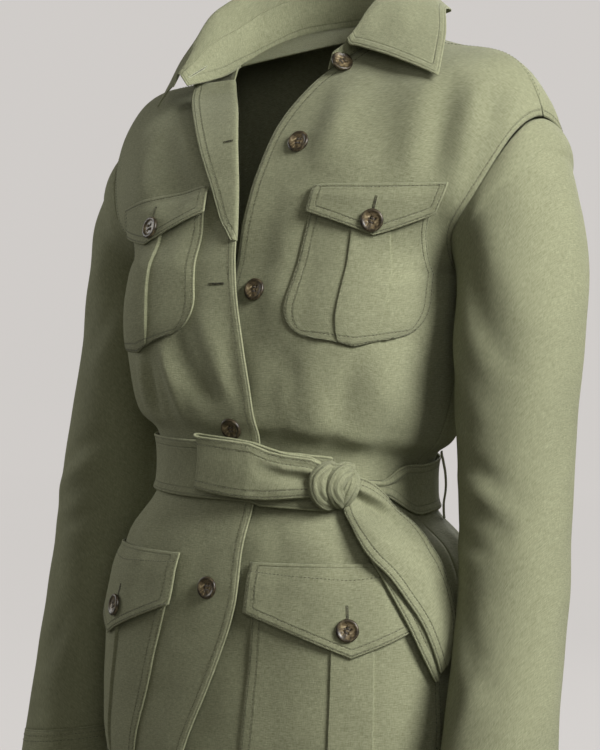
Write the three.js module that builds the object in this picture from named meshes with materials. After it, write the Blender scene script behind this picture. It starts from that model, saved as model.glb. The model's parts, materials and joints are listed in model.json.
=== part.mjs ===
import * as THREE from "three";

// Linen safari jacket with a tied belt, in millimetres.
// It faces -Y, the wearer's left is +X and up is +Z. The origin is inside the neck,
// level with the top of the shoulder seams, where the wearer's neck meets the shoulders.

// Cloth and seams
const WALL = 1.6;
const SEAM_GAP = 0.3;
const SHOULDER_GAP = 1.3;
const SLEEVE_GAP = 1.8;
const FRONT_LAP = 5;
const SQUARENESS = 0.86;
const MIDDLE_X = -8;
const LIFT_OUTWARD = 2.7;
const LIFT_FULLNESS = 0.6;

// Mesh fineness, as divisions
const LOW_PARTS = 1;
const HIGH_PARTS = 2;
const FRONT_COLUMNS = 11;
const BACK_COLUMNS = 10;
const SLEEVE_COLUMNS = 18;
const SLEEVE_RINGS = 13;
const COLLAR_COLUMNS = 22;
const BUTTON_SIDES = 14;

// Trim sizes
const BUTTON_RADIUS = 10;
const BUTTON_THICKNESS = 3.2;
const BUTTON_GAP = 0.6;
const LAPEL_GAP = 1.1;
const PLEAT_WIDTH = 37;
const PLEAT_RISE = 2.2;
const FLAP_REACH = 0.018;
const FLAP_ABOVE = 6;
const BELT_RISE = 2.8;

// Armhole seams, eight stations from the underarm up the front, over the tip and down the back
const ARMHOLE_LEFT = [
  { x: 162, y: 8, z: -238 },
  { x: 175, y: -35, z: -208 },
  { x: 204, y: -48, z: -174 },
  { x: 230, y: -24, z: -122 },
  { x: 237, y: 16, z: -104 },
  { x: 235, y: 58, z: -122 },
  { x: 206, y: 76, z: -166 },
  { x: 170, y: 49, z: -210 },
];
const ARMHOLE_RIGHT = [
  { x: -165, y: 12, z: -238 },
  { x: -175, y: -25, z: -208 },
  { x: -200, y: -33, z: -176 },
  { x: -225, y: -6, z: -124 },
  { x: -235, y: 32, z: -101 },
  { x: -227, y: 66, z: -122 },
  { x: -202, y: 84, z: -164 },
  { x: -173, y: 60, z: -210 },
];

// Sections of each front from hem to shoulder seam: the point on its front edge, then its outer
// point on the side seam, or the armhole station as arm; round is how far the section follows
// the rounded trunk, swell pushes its middle out and lift raises it over the shoulder.
const FRONT_LEFT = [
  { edge: [-70, -131.5, -704], side: [168, 6, -700], round: 1, swell: 0, lift: 0 },
  { edge: [-66, -131, -650], side: [168, 6, -645], round: 1, swell: 0, lift: 0 },
  { edge: [-60, -129, -590], side: [166, 6, -590], round: 1, swell: 0, lift: 0 },
  { edge: [-53, -128.5, -530], side: [163, 6, -530], round: 1, swell: 0, lift: 0 },
  { edge: [-44, -123.5, -475], side: [148, 5, -482], round: 1, swell: 0, lift: 0 },
  { edge: [-37, -117, -438], side: [119, 4, -453], round: 1, swell: 0, lift: 0 },
  { edge: [-33, -115.5, -410], side: [114, 4, -427], round: 1, swell: 0, lift: 0 },
  { edge: [-30, -118, -382], side: [118, 3, -402], round: 1, swell: 0, lift: 0 },
  { edge: [-28, -125.5, -366], side: [138, 2, -385], round: 1, swell: 4, lift: 0 },
  { edge: [-24, -128.5, -340], side: [151, 2, -355], round: 1, swell: 6, lift: 0 },
  { edge: [-16, -128.5, -305], side: [160, 2, -312], round: 1, swell: 8, lift: 0 },
  { edge: [-5, -126, -265], side: [162, 4, -270], round: 1, swell: 9, lift: 0 },
  { edge: [3, -119, -228], arm: 0, round: 1, swell: 9, lift: 0 },
  { edge: [8, -113, -190], arm: 0.6, round: 0.85, swell: 6, lift: 0 },
  { edge: [16, -103, -150], arm: 1.2, round: 0.7, swell: 9, lift: 0 },
  { edge: [28, -86, -105], arm: 1.85, round: 0.5, swell: 13, lift: 0 },
  { edge: [52, -67, -68], arm: 2.45, round: 0.3, swell: 15, lift: 14 },
  { edge: [78, -50, -46], arm: 2.95, round: 0.2, swell: 11, lift: 30 },
  { edge: [91, -26, -27], arm: 3.5, round: 0.1, swell: 5, lift: 34 },
  { edge: [97, 0, -14], arm: 4, round: 0, swell: 0, lift: 37 },
];
const FRONT_RIGHT = [
  { edge: [-52, -136, -704], side: [-196, 6, -696], round: 1, swell: 0, lift: 0 },
  { edge: [-38, -135, -650], side: [-196, 6, -642], round: 1, swell: 0, lift: 0 },
  { edge: [-10, -134, -590], side: [-194, 6, -585], round: 1, swell: 0, lift: 0 },
  { edge: [13, -132, -530], side: [-190, 6, -525], round: 1, swell: 0, lift: 0 },
  { edge: [18, -126, -475], side: [-176, 5, -472], round: 1, swell: 0, lift: 0 },
  { edge: [24, -118, -438], side: [-141, 4, -428], round: 1, swell: 0, lift: 0 },
  { edge: [28, -116, -410], side: [-134, 4, -400], round: 1, swell: 0, lift: 0 },
  { edge: [31, -118, -382], side: [-137, 3, -372], round: 1, swell: 0, lift: 0 },
  { edge: [30, -125, -362], side: [-155, 2, -354], round: 1, swell: 4, lift: 0 },
  { edge: [28, -129, -336], side: [-163, 2, -330], round: 1, swell: 6, lift: 0 },
  { edge: [22, -130, -302], side: [-167, 2, -300], round: 1, swell: 8, lift: 0 },
  { edge: [14, -128, -262], side: [-168, 4, -266], round: 1, swell: 9, lift: 0 },
  { edge: [8, -123, -226], arm: 0, round: 1, swell: 9, lift: 0 },
  { edge: [4, -115, -195], arm: 0.6, round: 0.85, swell: 6, lift: 0 },
  { edge: [-3, -104, -158], arm: 1.2, round: 0.7, swell: 9, lift: 0 },
  { edge: [-14, -91, -122], arm: 1.85, round: 0.5, swell: 14, lift: 0 },
  { edge: [-34, -64, -86], arm: 2.45, round: 0.3, swell: 17, lift: 10 },
  { edge: [-60, -32, -64], arm: 2.95, round: 0.2, swell: 15, lift: 24 },
  { edge: [-79, -8, -48], arm: 3.5, round: 0.1, swell: 7, lift: 31 },
  { edge: [-92, 16, -30], arm: 4, round: 0, swell: 0, lift: 34 },
];

// Centre back line, hem to neck; its last two points run along the neck seam to the left
// and right shoulder, and arm counts the armhole stations down the back.
const BACK_LINE = [
  { y: 128, z: -704 },
  { y: 130, z: -650 },
  { y: 128, z: -590 },
  { y: 123, z: -530 },
  { y: 115, z: -477 },
  { y: 105, z: -440 },
  { y: 102, z: -412 },
  { y: 105, z: -385 },
  { y: 114, z: -366 },
  { y: 119, z: -340 },
  { y: 121, z: -305 },
  { y: 119, z: -267 },
  { y: 116, z: -236, arm: 8, round: 1, swell: 0, lift: 0 },
  { y: 113, z: -196, arm: 7.4, round: 0.85, swell: 3, lift: 0 },
  { y: 108, z: -150, arm: 6.8, round: 0.7, swell: 8, lift: 0 },
  { y: 98, z: -102, arm: 6.2, round: 0.5, swell: 15, lift: 2 },
  { y: 86, z: -54, arm: 5.6, round: 0.35, swell: 16, lift: 12 },
  { y: 72, z: 6, arm: 5.1, round: 0.2, swell: 8, lift: 24, corner: true },
];
const BACK_NECK_LEFT = [
  { edge: [60, 56, 5], arm: 4.55, round: 0.1, swell: 4, lift: 31 },
  { edge: [97, 0, -14], arm: 4, round: 0, swell: 0, lift: 37 },
];
const BACK_NECK_RIGHT = [
  { edge: [-60, 60, 0], arm: 4.55, round: 0.1, swell: 4, lift: 29 },
  { edge: [-92, 16, -30], arm: 4, round: 0, swell: 0, lift: 34 },
];

// Sleeve rings below the armhole: centre, tilt in degrees about Y, half width and half depth
const SLEEVE_LEFT = [
  { x: 213, y: 14, z: -204, tilt: 42, wide: 65, deep: 65 },
  { x: 221, y: 8, z: -248, tilt: 22, wide: 57, deep: 66 },
  { x: 220, y: 4, z: -300, tilt: 8, wide: 54, deep: 64 },
  { x: 218, y: 3, z: -360, tilt: 2, wide: 51, deep: 59 },
  { x: 217, y: 3, z: -430, tilt: 0, wide: 48, deep: 54 },
  { x: 217, y: 0, z: -500, tilt: 0, wide: 47, deep: 52 },
  { x: 219, y: -12, z: -560, tilt: 0, wide: 47, deep: 52 },
  { x: 222, y: -30, z: -620, tilt: 0, wide: 48, deep: 53 },
  { x: 225, y: -43, z: -666, tilt: -4, wide: 49, deep: 54 },
];
const SLEEVE_RIGHT = [
  { x: -217, y: 37, z: -204, tilt: -42, wide: 63, deep: 64 },
  { x: -222, y: 33, z: -248, tilt: -22, wide: 53, deep: 62 },
  { x: -223, y: 22, z: -300, tilt: -8, wide: 50, deep: 59 },
  { x: -226, y: 8, z: -360, tilt: -2, wide: 49, deep: 56 },
  { x: -233, y: -2, z: -430, tilt: 0, wide: 48, deep: 54 },
  { x: -242, y: -8, z: -500, tilt: 0, wide: 46, deep: 52 },
  { x: -246, y: -16, z: -560, tilt: 2, wide: 47, deep: 52 },
  { x: -252, y: -22, z: -620, tilt: 4, wide: 48, deep: 53 },
  { x: -256, y: -28, z: -666, tilt: 6, wide: 49, deep: 54 },
];
const CUFF_LENGTH = 62;
const CUFF_FLARE = 4;

// Neck seam, top of the stand, roll line of the collar and its outer edge, left end to right end
const COLLAR_LINES = [
  { seam: [64, -60, -57], top: [70, -62, -42], roll: [78, -62, -44], out: [174, -58, -76] },
  { seam: [78, -50, -46], top: [84, -52, -28], roll: [90, -55, -30], out: [172, -50, -64] },
  { seam: [91, -26, -27], top: [87, -27, -4], roll: [92, -31, 0], out: [160, -20, -28] },
  { seam: [97, 0, -14], top: [87, 0, 14], roll: [95, 0, 20], out: [138, 16, 0] },
  { seam: [84, 37, -2], top: [76, 35, 28], roll: [83, 42, 38], out: [112, 66, 8] },
  { seam: [50, 60, 6], top: [45, 55, 37], roll: [48, 65, 48], out: [62, 96, 10] },
  { seam: [0, 72, 7], top: [0, 64, 40], roll: [0, 75, 52], out: [0, 106, 10] },
  { seam: [-50, 63, 3], top: [-45, 57, 37], roll: [-48, 68, 50], out: [-64, 99, 6] },
  { seam: [-82, 40, -15], top: [-78, 37, 22], roll: [-86, 44, 42], out: [-116, 72, -4] },
  { seam: [-92, 16, -30], top: [-92, 14, 4], roll: [-102, 14, 30], out: [-142, 32, -20] },
  { seam: [-91, -16, -46], top: [-98, -18, -14], roll: [-107, -18, 2], out: [-152, -6, -40] },
  { seam: [-97, -56, -58], top: [-106, -58, -33], roll: [-113, -56, -40], out: [-154, -40, -74] },
];
const LEAF_START = 0.06;
const STAND_LIFT = 1.4;

// Turned-back edge of the right front: share of the front's width it covers, and its stand-off
const LAPEL = [
  { row: 12.6, wide: 0.01, off: 1.2 },
  { row: 13.2, wide: 0.04, off: 2.5 },
  { row: 14, wide: 0.075, off: 4 },
  { row: 15, wide: 0.13, off: 5.5 },
  { row: 16, wide: 0.19, off: 7 },
  { row: 16.8, wide: 0.22, off: 8 },
  { row: 17.35, wide: 0.22, off: 9 },
];

// Patch pockets: share of the panel's width at each corner, and heights of top and bottom
const POCKETS = {
  chest_left: { panel: "left", top_in: 0.27, top_out: 0.825, low_in: 0.2, low_out: 0.83, tilt: 0,
    top_z: -168, low_z: -293, point: 8, gap: 1, puff: 4, round: 34, flap_rise: 1.7, flap_z: -185, flap_point: 20, button: 0.49 },
  chest_right: { panel: "right", top_in: 0.118, top_out: 0.67, low_in: 0.12, low_out: 0.69, tilt: -13,
    top_z: -163, low_z: -290, point: 8, gap: 1, puff: 4, round: 34, flap_rise: 1.1, flap_z: -182, flap_point: 21, button: 0.44 },
  hip_left: { panel: "left", top_in: 0.215, top_out: 0.86, low_in: 0.215, low_out: 0.88, tilt: 0,
    top_z: -493, low_z: -688, point: 0, gap: 2, puff: 3, round: 0, flap_rise: 2.2, flap_z: -530, flap_point: 35, button: 0.48 },
  hip_right: { panel: "right", top_in: 0.19, top_out: 0.8, low_in: 0.24, low_out: 0.84, tilt: 4,
    top_z: -489, low_z: -682, point: 0, gap: 1.2, puff: 5, round: 0, flap_rise: 1.5, flap_z: -528, flap_point: 36, button: 0.42 },
};

// Buttons: the panel they sit on, share of its width, height, and how far off the panel
const BUTTONS = {
  button_front_1: { panel: "left", across: 0.115, z: -122, off: 0.5 },
  button_front_2: { panel: "left", across: 0.089, z: -250, off: 0.5 },
  button_front_3: { panel: "right", across: 0.087, z: -371, off: 1.4 },
  button_front_4: { panel: "right", across: 0.072, z: -511, off: -0.1 },
};
const STAND_BUTTON = { place: 0.62, up: 0.5, off: 4 };

// The belt runs round the waist under the knot, by panel and share of its width
const BELT_PATH = [
  { panel: "left", from: 0.57, to: 1, parts: 5 },
  { panel: "back_left", from: 1, to: 0, parts: 7 },
  { panel: "back_right", from: 0, to: 1, parts: 7 },
  { panel: "right", from: 1, to: 0.01, parts: 9 },
  { panel: "left", from: 0.24, to: 0.545, parts: 4 },
];
const BELT_ROWS = [6.9, 6, 5.1];
// Half bow over the belt, from the knot to its fold
const BOW = [
  { panel: "left", across: 0.455, top_z: -402, low_z: -429 },
  { panel: "left", across: 0.35, top_z: -391, low_z: -433 },
  { panel: "left", across: 0.286, top_z: -386, low_z: -434 },
  { panel: "right", across: 0.01, top_z: -382, low_z: -433 },
  { panel: "right", across: 0.072, top_z: -379, low_z: -431 },
  { panel: "right", across: 0.135, top_z: -376, low_z: -428 },
  { panel: "right", across: 0.196, top_z: -373, low_z: -425 },
];
const BOW_UNDER = 6.4;
const BOW_OVER = 14;
// The two hanging ends, by inner and outer edge, and how far off the front
const TAIL_FRONT = [
  { in: 0.55, in_z: -436, out: 0.6, out_z: -428, off: 6.8 },
  { in: 0.565, in_z: -454, out: 0.73, out_z: -431, off: 9 },
  { in: 0.595, in_z: -470, out: 0.81, out_z: -441, off: 12 },
  { in: 0.64, in_z: -487, out: 0.84, out_z: -458, off: 14.5 },
  { in: 0.7, in_z: -505, out: 0.84, out_z: -484, off: 17.5 },
  { in: 0.76, in_z: -530, out: 0.85, out_z: -515, off: 17.5 },
  { in: 0.8, in_z: -556, out: 0.855, out_z: -548, off: 17.5 },
  { in: 0.815, in_z: -582, out: 0.855, out_z: -578, off: 17.5 },
];
const TAIL_BACK = [
  { in: 0.585, in_z: -452, out: 0.66, out_z: -443, off: 5.4 },
  { in: 0.62, in_z: -482, out: 0.77, out_z: -466, off: 9 },
  { in: 0.68, in_z: -512, out: 0.81, out_z: -500, off: 14 },
  { in: 0.76, in_z: -560, out: 0.84, out_z: -552, off: 14.2 },
  { in: 0.8, in_z: -596, out: 0.85, out_z: -592, off: 13 },
  { in: 0.815, in_z: -616, out: 0.85, out_z: -614, off: 12 },
];
const KNOT = { across: 0.552, z: -420, off: 18, wide: 19, tall: 17, deep: 11 };
// Belt carriers behind the side seams: place in the sections and how far off the panel
const CARRIER_ACROSS = [0.72, 0.76];
const CARRIER = [
  { row: 7.25, off: 2.4 },
  { row: 7, off: 7 },
  { row: 6.5, off: 11.5 },
  { row: 6, off: 12.8 },
  { row: 5.5, off: 11.5 },
  { row: 5, off: 7 },
  { row: 4.75, off: 2.2 },
];

const DEG = Math.PI / 180;

const CLOTH = new THREE.MeshStandardMaterial({ color: 0x9a9c78, roughness: 0.9 });
const HORN = new THREE.MeshStandardMaterial({ color: 0x5a4632, roughness: 0.35 });

const root = new THREE.Group();
root.name = "safari_jacket";

function mix(a, b, share) {
  return a + (b - a) * share;
}

function clamp(value, low, high) {
  return Math.min(high, Math.max(low, value));
}

// Smooth value at a fractional place in a list
function smooth(values, place) {
  const last = values.length - 1;
  const i = clamp(Math.floor(place), 0, last - 1);
  const f = place - i;
  const b = values[i];
  const c = values[i + 1];
  const a = i > 0 ? values[i - 1] : 2 * b - c;
  const d = i + 2 <= last ? values[i + 2] : 2 * c - b;
  const bend = 2 * a - 5 * b + 4 * c - d;
  const twist = 3 * b - a - 3 * c + d;
  return 0.5 * (2 * b + (c - a) * f + bend * f * f + twist * f * f * f);
}

// The same round a closed list
function smoothRound(values, place) {
  const n = values.length;
  const start = Math.floor(place);
  const near = [-1, 0, 1, 2].map((k) => values[(((start + k) % n) + n) % n]);
  return smooth(near, place - start + 1);
}

function smoothPoint(points, place) {
  return new THREE.Vector3(...[0, 1, 2].map((k) => smooth(points.map((p) => p[k]), place)));
}

function armhole(stations, place) {
  return new THREE.Vector3(
    ...["x", "y", "z"].map((axis) => smoothRound(stations.map((p) => p[axis]), place)),
  );
}

// A panel gives the point at a share of its width and a place in its list of sections.
function makePanel(sections, stations, facing) {
  const armStart = sections.findIndex((row) => row.arm !== undefined);
  const edges = sections.map((row) => row.edge);
  const armFirst = armhole(stations, sections[armStart].arm);
  const sides = sections.slice(0, armStart).map((row) => row.side);
  sides.push([armFirst.x, armFirst.y, armFirst.z]);
  const arms = sections.slice(armStart).map((row) => row.arm);
  const column = (name) => sections.map((row) => row[name]);
  const [rounds, swells, lifts] = [column("round"), column("swell"), column("lift")];
  const corner = sections.findIndex((row) => row.corner);
  const edge = (place) =>
    corner < 0 || place <= corner
      ? smoothPoint(corner < 0 ? edges : edges.slice(0, corner + 1), place)
      : smoothPoint(edges.slice(corner), place - corner);
  const outer = (place) =>
    place <= armStart
      ? smoothPoint(sides, place)
      : armhole(stations, smooth(arms, place - armStart));
  const point = (across, place) => {
    const a = edge(place);
    const b = outer(place);
    const round = clamp(smooth(rounds, place), 0, 1);
    const half = b.x - MIDDLE_X;
    const lapShare = (a.x - MIDDLE_X) / half;
    const first = Math.asin(Math.sign(lapShare) * Math.abs(lapShare) ** (1 / SQUARENESS));
    const angle = mix(first, Math.PI / 2, clamp(across, 0, 1));
    const wideShare = Math.sign(angle) * Math.abs(Math.sin(angle)) ** SQUARENESS;
    const deepShare = (Math.max(Math.cos(angle), 0) / Math.cos(first)) ** SQUARENESS;
    const sideways = mix(across, (wideShare - lapShare) / (1 - lapShare), round);
    const inward = mix(across, 1 - deepShare, round);
    const swell = smooth(swells, place) * Math.sin(Math.PI * clamp(across, 0, 1)) ** 1.5;
    const lift = smooth(lifts, place) * Math.sin(Math.PI * clamp(across, 0, 1) ** LIFT_OUTWARD) ** LIFT_FULLNESS;
    return new THREE.Vector3(
      mix(a.x, b.x, sideways),
      mix(a.y, b.y, inward) + facing * swell,
      mix(a.z, b.z, across) + lift,
    );
  };
  return { point, last: sections.length - 1, armStart };
}

// The outward normal of a panel by differences
function panelNormal(panel, across, place, turn) {
  const step = 0.01;
  const a = clamp(across, step, 1 - step);
  const p = clamp(place, step, panel.last - step);
  const du = panel.point(a + step, p).sub(panel.point(a - step, p));
  const dv = panel.point(a, p + step).sub(panel.point(a, p - step));
  return du.cross(dv).normalize().multiplyScalar(turn);
}

// Place in the sections at which a panel reaches a height
function placeAt(panel, across, z) {
  let low = 0;
  let high = panel.last;
  for (let i = 0; i < 40; i++) {
    const middle = (low + high) / 2;
    if (panel.point(across, middle).z < z) low = middle;
    else high = middle;
  }
  return (low + high) / 2;
}

// Grid of points, rows of equal length, as faces turned one way
function gridFaces(rows, turned) {
  const points = rows.flat();
  const wide = rows[0].length;
  const faces = [];
  for (let i = 0; i + 1 < rows.length; i++)
    for (let j = 0; j + 1 < wide; j++) {
      const a = i * wide + j;
      const quad = [a, a + 1, a + wide + 1, a + wide];
      if (turned) quad.reverse();
      faces.push([quad[0], quad[1], quad[2]], [quad[0], quad[2], quad[3]]);
    }
  return { points, faces };
}

// Joins surfaces, with points at the same place made one
function weld(surfaces) {
  const points = [];
  const faces = [];
  const seen = new Map();
  for (const surface of surfaces) {
    const at = surface.points.map((p) => {
      const key = [p.x, p.y, p.z].map((v) => Math.round(v * 100)).join();
      if (!seen.has(key)) {
        seen.set(key, points.length);
        points.push(p);
      }
      return seen.get(key);
    });
    for (const face of surface.faces) {
      const [a, b, c] = face.map((k) => at[k]);
      if (a !== b && b !== c && a !== c) faces.push([a, b, c]);
    }
  }
  return { points, faces };
}

function pointNormals({ points, faces }) {
  const normals = points.map(() => new THREE.Vector3());
  for (const [a, b, c] of faces) {
    const u = points[b].clone().sub(points[a]);
    const v = points[c].clone().sub(points[a]);
    const n = u.cross(v);
    for (const k of [a, b, c]) normals[k].add(n);
  }
  return normals.map((n) => n.normalize());
}

// An open surface made a closed wall: its faces look out and the wall grows inwards.
function thicken(surface, wall) {
  const { points, faces } = weld([surface]);
  const normals = pointNormals({ points, faces });
  const count = points.length;
  const inner = points.map((p, i) => p.clone().addScaledVector(normals[i], -wall));
  const all = [...points, ...inner];
  const used = new Map();
  for (const face of faces)
    for (let k = 0; k < 3; k++) {
      const [a, b] = [face[k], face[(k + 1) % 3]];
      used.set(a + "," + b, [a, b]);
    }
  const triangles = faces.flatMap(([a, b, c]) => [
    [a, b, c],
    [a + count, c + count, b + count],
  ]);
  for (const [a, b] of used.values())
    if (!used.has(b + "," + a))
      triangles.push([b, a, a + count], [b, a + count, b + count]);
  const flat = new Float32Array(all.flatMap((p) => [p.x, p.y, p.z]));
  const made = new THREE.BufferGeometry();
  made.setAttribute("position", new THREE.BufferAttribute(flat, 3));
  made.setIndex(triangles.flat());
  made.computeVertexNormals();
  return made;
}

function addPiece(name, geometry, material = CLOTH) {
  const mesh = new THREE.Mesh(geometry, material);
  mesh.name = name;
  root.add(mesh);
}

// Shares from 0 to 1
function steps(count) {
  return Array.from({ length: count + 1 }, (_, i) => i / count);
}

function backSections(front, neck) {
  const low = BACK_LINE.map((row, i) => ({
    edge: [0, row.y, row.z],
    side: front[i].side,
    arm: row.arm,
    round: 1,
    swell: 0,
    lift: 0,
    ...row,
  }));
  return [...low, ...neck];
}

const panels = {
  left: makePanel(FRONT_LEFT, ARMHOLE_LEFT, -1),
  right: makePanel(FRONT_RIGHT, ARMHOLE_RIGHT, -1),
  back_left: makePanel(backSections(FRONT_LEFT, BACK_NECK_LEFT), ARMHOLE_LEFT, 1),
  back_right: makePanel(backSections(FRONT_RIGHT, BACK_NECK_RIGHT), ARMHOLE_RIGHT, 1),
};
const TURN = { left: 1, right: -1, back_left: -1, back_right: 1 };

// The left front lies under the right one near the middle.
function lapUnder(name, across, place) {
  if (name !== "left") return 0;
  const covered = clamp((14 - place) / 2, 0, 1);
  return FRONT_LAP * covered * clamp(1 - (across - 0.3) / 0.35, 0, 1);
}

// A point on a panel's outer face, moved out by a distance
function onPanel(name, across, place, off = 0) {
  const panel = panels[name];
  const normal = panelNormal(panel, across, place, TURN[name]);
  return panel.point(across, place).addScaledVector(normal, off - lapUnder(name, across, place));
}

// Places of the rows of a panel, closer together over the chest and shoulder
function panelPlaces(panel) {
  const places = [0];
  for (let i = 0; i < panel.last; i++) {
    const parts = i < panel.armStart ? LOW_PARTS : HIGH_PARTS;
    for (let k = 1; k <= parts; k++) places.push(i + k / parts);
  }
  return places;
}

// Points of a panel, held back from the side seam and the shoulder seam
function panelGrid(name, columns, gaps) {
  const panel = panels[name];
  return panelPlaces(panel).map((place) => {
    const width = onPanel(name, 0, place).distanceTo(onPanel(name, 1, place));
    const stop = 1 - gaps.side / width;
    return steps(columns).map((share) => {
      const point = onPanel(name, share * stop, place);
      if (place === panel.last) point.y += gaps.shoulder * Math.min(1, 6 * share + 0.5);
      return point;
    });
  });
}

function makeFront(name) {
  const grid = panelGrid(name, FRONT_COLUMNS, { side: SEAM_GAP, shoulder: -SHOULDER_GAP });
  addPiece("front_" + name, thicken(gridFaces(grid, TURN[name] < 0), WALL));
}

function makeBack() {
  const halves = ["back_left", "back_right"].map((name) =>
    gridFaces(
      panelGrid(name, BACK_COLUMNS, { side: SEAM_GAP, shoulder: SHOULDER_GAP }),
      TURN[name] < 0,
    ),
  );
  addPiece("back", thicken(weld(halves), WALL));
}

// A sleeve ring's point; the angle starts at the underarm and goes up the front.
function ringPoint(ring, share) {
  const angle = share * 2 * Math.PI;
  const toBody = ring.x > 0 ? -1 : 1;
  const across = toBody * ring.wide * Math.cos(angle);
  return new THREE.Vector3(
    ring.x + across * Math.cos(ring.tilt * DEG),
    ring.y - ring.deep * Math.sin(angle),
    ring.z + across * Math.sin(ring.tilt * DEG),
  );
}

function sleevePoint(stations, rings, share, place) {
  const path = [armhole(stations, share * stations.length), ...rings.map((r) => ringPoint(r, share))];
  return smoothPoint(path.map((p) => [p.x, p.y, p.z]), place);
}

function tubeFaces(rows, turned) {
  return gridFaces(rows.map((row) => [...row, row[0].clone()]), turned);
}

function makeSleeve(side, stations, rings) {
  const sampled = steps(SLEEVE_RINGS).map((down) => {
    const start = SLEEVE_GAP / 40;
    const place = mix(start, rings.length, down);
    return steps(SLEEVE_COLUMNS)
      .slice(0, -1)
      .map((share) => sleevePoint(stations, rings, share, place));
  });
  addPiece("sleeve_" + side, thicken(tubeFaces(sampled, rings[0].x > 0), WALL));
}

function makeCuff(side, rings) {
  const last = rings[rings.length - 1];
  const before = rings[rings.length - 2];
  const lean = (last.y - before.y) / (last.z - before.z);
  const rows = [0, 0.12, 0.55, 1].map((down) => {
    const drop = SEAM_GAP + 0.2 + down * CUFF_LENGTH;
    const flare = 0.6 + CUFF_FLARE * down;
    const ring = {
      ...last,
      y: last.y - lean * drop,
      z: last.z - drop,
      wide: last.wide + flare,
      deep: last.deep + flare,
    };
    return steps(SLEEVE_COLUMNS)
      .slice(0, -1)
      .map((share) => ringPoint(ring, share));
  });
  addPiece("cuff_" + side, thicken(tubeFaces(rows, last.x > 0), WALL + 0.4));
}

// Strip between two or more lines of the collar table
function collarLine(name, place) {
  return smoothPoint(COLLAR_LINES.map((row) => row[name]), place);
}

function collarGrid(start, makeRow) {
  const last = COLLAR_LINES.length - 1;
  return steps(COLLAR_COLUMNS).map((along) =>
    makeRow((name) => collarLine(name, mix(start, 1, along) * last)),
  );
}

function makeStand() {
  const grid = collarGrid(0, (line) => {
    const low = line("seam");
    const top = line("top");
    const up = top.clone().sub(low).normalize();
    low.addScaledVector(up, STAND_LIFT);
    return [low, low.clone().lerp(top, 0.5), top];
  });
  addPiece("collar_stand", thicken(gridFaces(grid, true), WALL));
}

function makeLeaf() {
  const grid = collarGrid(LEAF_START, (line) => {
    const top = line("top");
    const roll = line("roll");
    const out = line("out");
    const rise = new THREE.Vector3(0, 0, 1);
    const start = top.clone().addScaledVector(rise, 0.6);
    const before = top.clone().lerp(roll, 0.4).addScaledVector(rise, 4);
    const after = roll.clone().lerp(out, 0.12).addScaledVector(rise, 1.5);
    const middle = roll.clone().lerp(out, 0.55).addScaledVector(rise, 2.5);
    return [start, before, roll, after, middle, out];
  });
  addPiece("collar_leaf", thicken(gridFaces(grid, true), WALL));
}

// The turned-back front edge lies on the right front, standing off it towards its free edge.
function makeLapel() {
  const column = (name) => LAPEL.map((row) => row[name]);
  const grid = steps(8).map((up) => {
    const at = up * (LAPEL.length - 1);
    const place = smooth(column("row"), at);
    const wide = smooth(column("wide"), at);
    const off = smooth(column("off"), at);
    return steps(4).map((share) =>
      onPanel("right", share * wide, place, WALL + LAPEL_GAP + off * share ** 0.7),
    );
  });
  addPiece("front_right_turnback", thicken(gridFaces(grid, true), WALL));
}

// Height of a pocket's outer face above its panel; u runs across it and v down it.
function pocketRise(pocket, u, v, width) {
  const centred = Math.abs(u - 0.5) * width;
  const pleat = centred < PLEAT_WIDTH / 2 ? PLEAT_RISE : 0;
  const puff = pocket.puff * Math.sin(Math.PI * clamp(u, 0, 1)) ** 0.6 * Math.sin(Math.PI * clamp(v, 0, 1)) ** 0.6;
  return WALL + pocket.gap + puff + pleat * clamp(v * 6, 0, 1) * clamp((1 - v) * 6, 0, 1);
}

function pocketAcross(pocket, u, v) {
  const height = pocket.top_z - pocket.low_z;
  const intoCorner = clamp((v * height - (height - pocket.round)) / (pocket.round || 1), 0, 1);
  const inset = (pocket.round / height) * (1 - Math.sqrt(1 - intoCorner ** 2)) * 0.9;
  const share = mix(inset, 1 - inset, u);
  return mix(mix(pocket.top_in, pocket.low_in, v), mix(pocket.top_out, pocket.low_out, v), share);
}

function pocketWidth(pocket) {
  const middle = (pocket.top_z + pocket.low_z) / 2;
  const spots = [0, 1].map((u) => {
    const across = pocketAcross(pocket, u, 0.5);
    return onPanel(pocket.panel, across, placeAt(panels[pocket.panel], across, middle));
  });
  return spots[0].distanceTo(spots[1]) * 1.04;
}

function makePocket(name, pocket) {
  const width = pocketWidth(pocket);
  const half = PLEAT_WIDTH / 2 / width;
  const columns = [0, 0.1, 0.24, 0.5 - half - 0.012, 0.5 - half + 0.012];
  columns.push(0.5 + half - 0.012, 0.5 + half + 0.012, 0.76, 0.9, 1);
  const rows = [0, 0.08, 0.3, 0.55, 0.78, 0.87, 0.94, 0.98, 1];
  const grid = rows.map((v) =>
    columns.map((u) => {
      const across = pocketAcross(pocket, u, v);
      const dip = pocket.point * (1 - Math.abs(2 * u - 1)) * v;
      const z = mix(pocket.top_z, pocket.low_z, v) - dip + pocket.tilt * u;
      const place = placeAt(panels[pocket.panel], across, z);
      return onPanel(pocket.panel, across, place, pocketRise(pocket, u, v, width));
    }),
  );
  addPiece(name, thicken(gridFaces(grid, pocket.panel === "left"), WALL));
}

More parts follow.
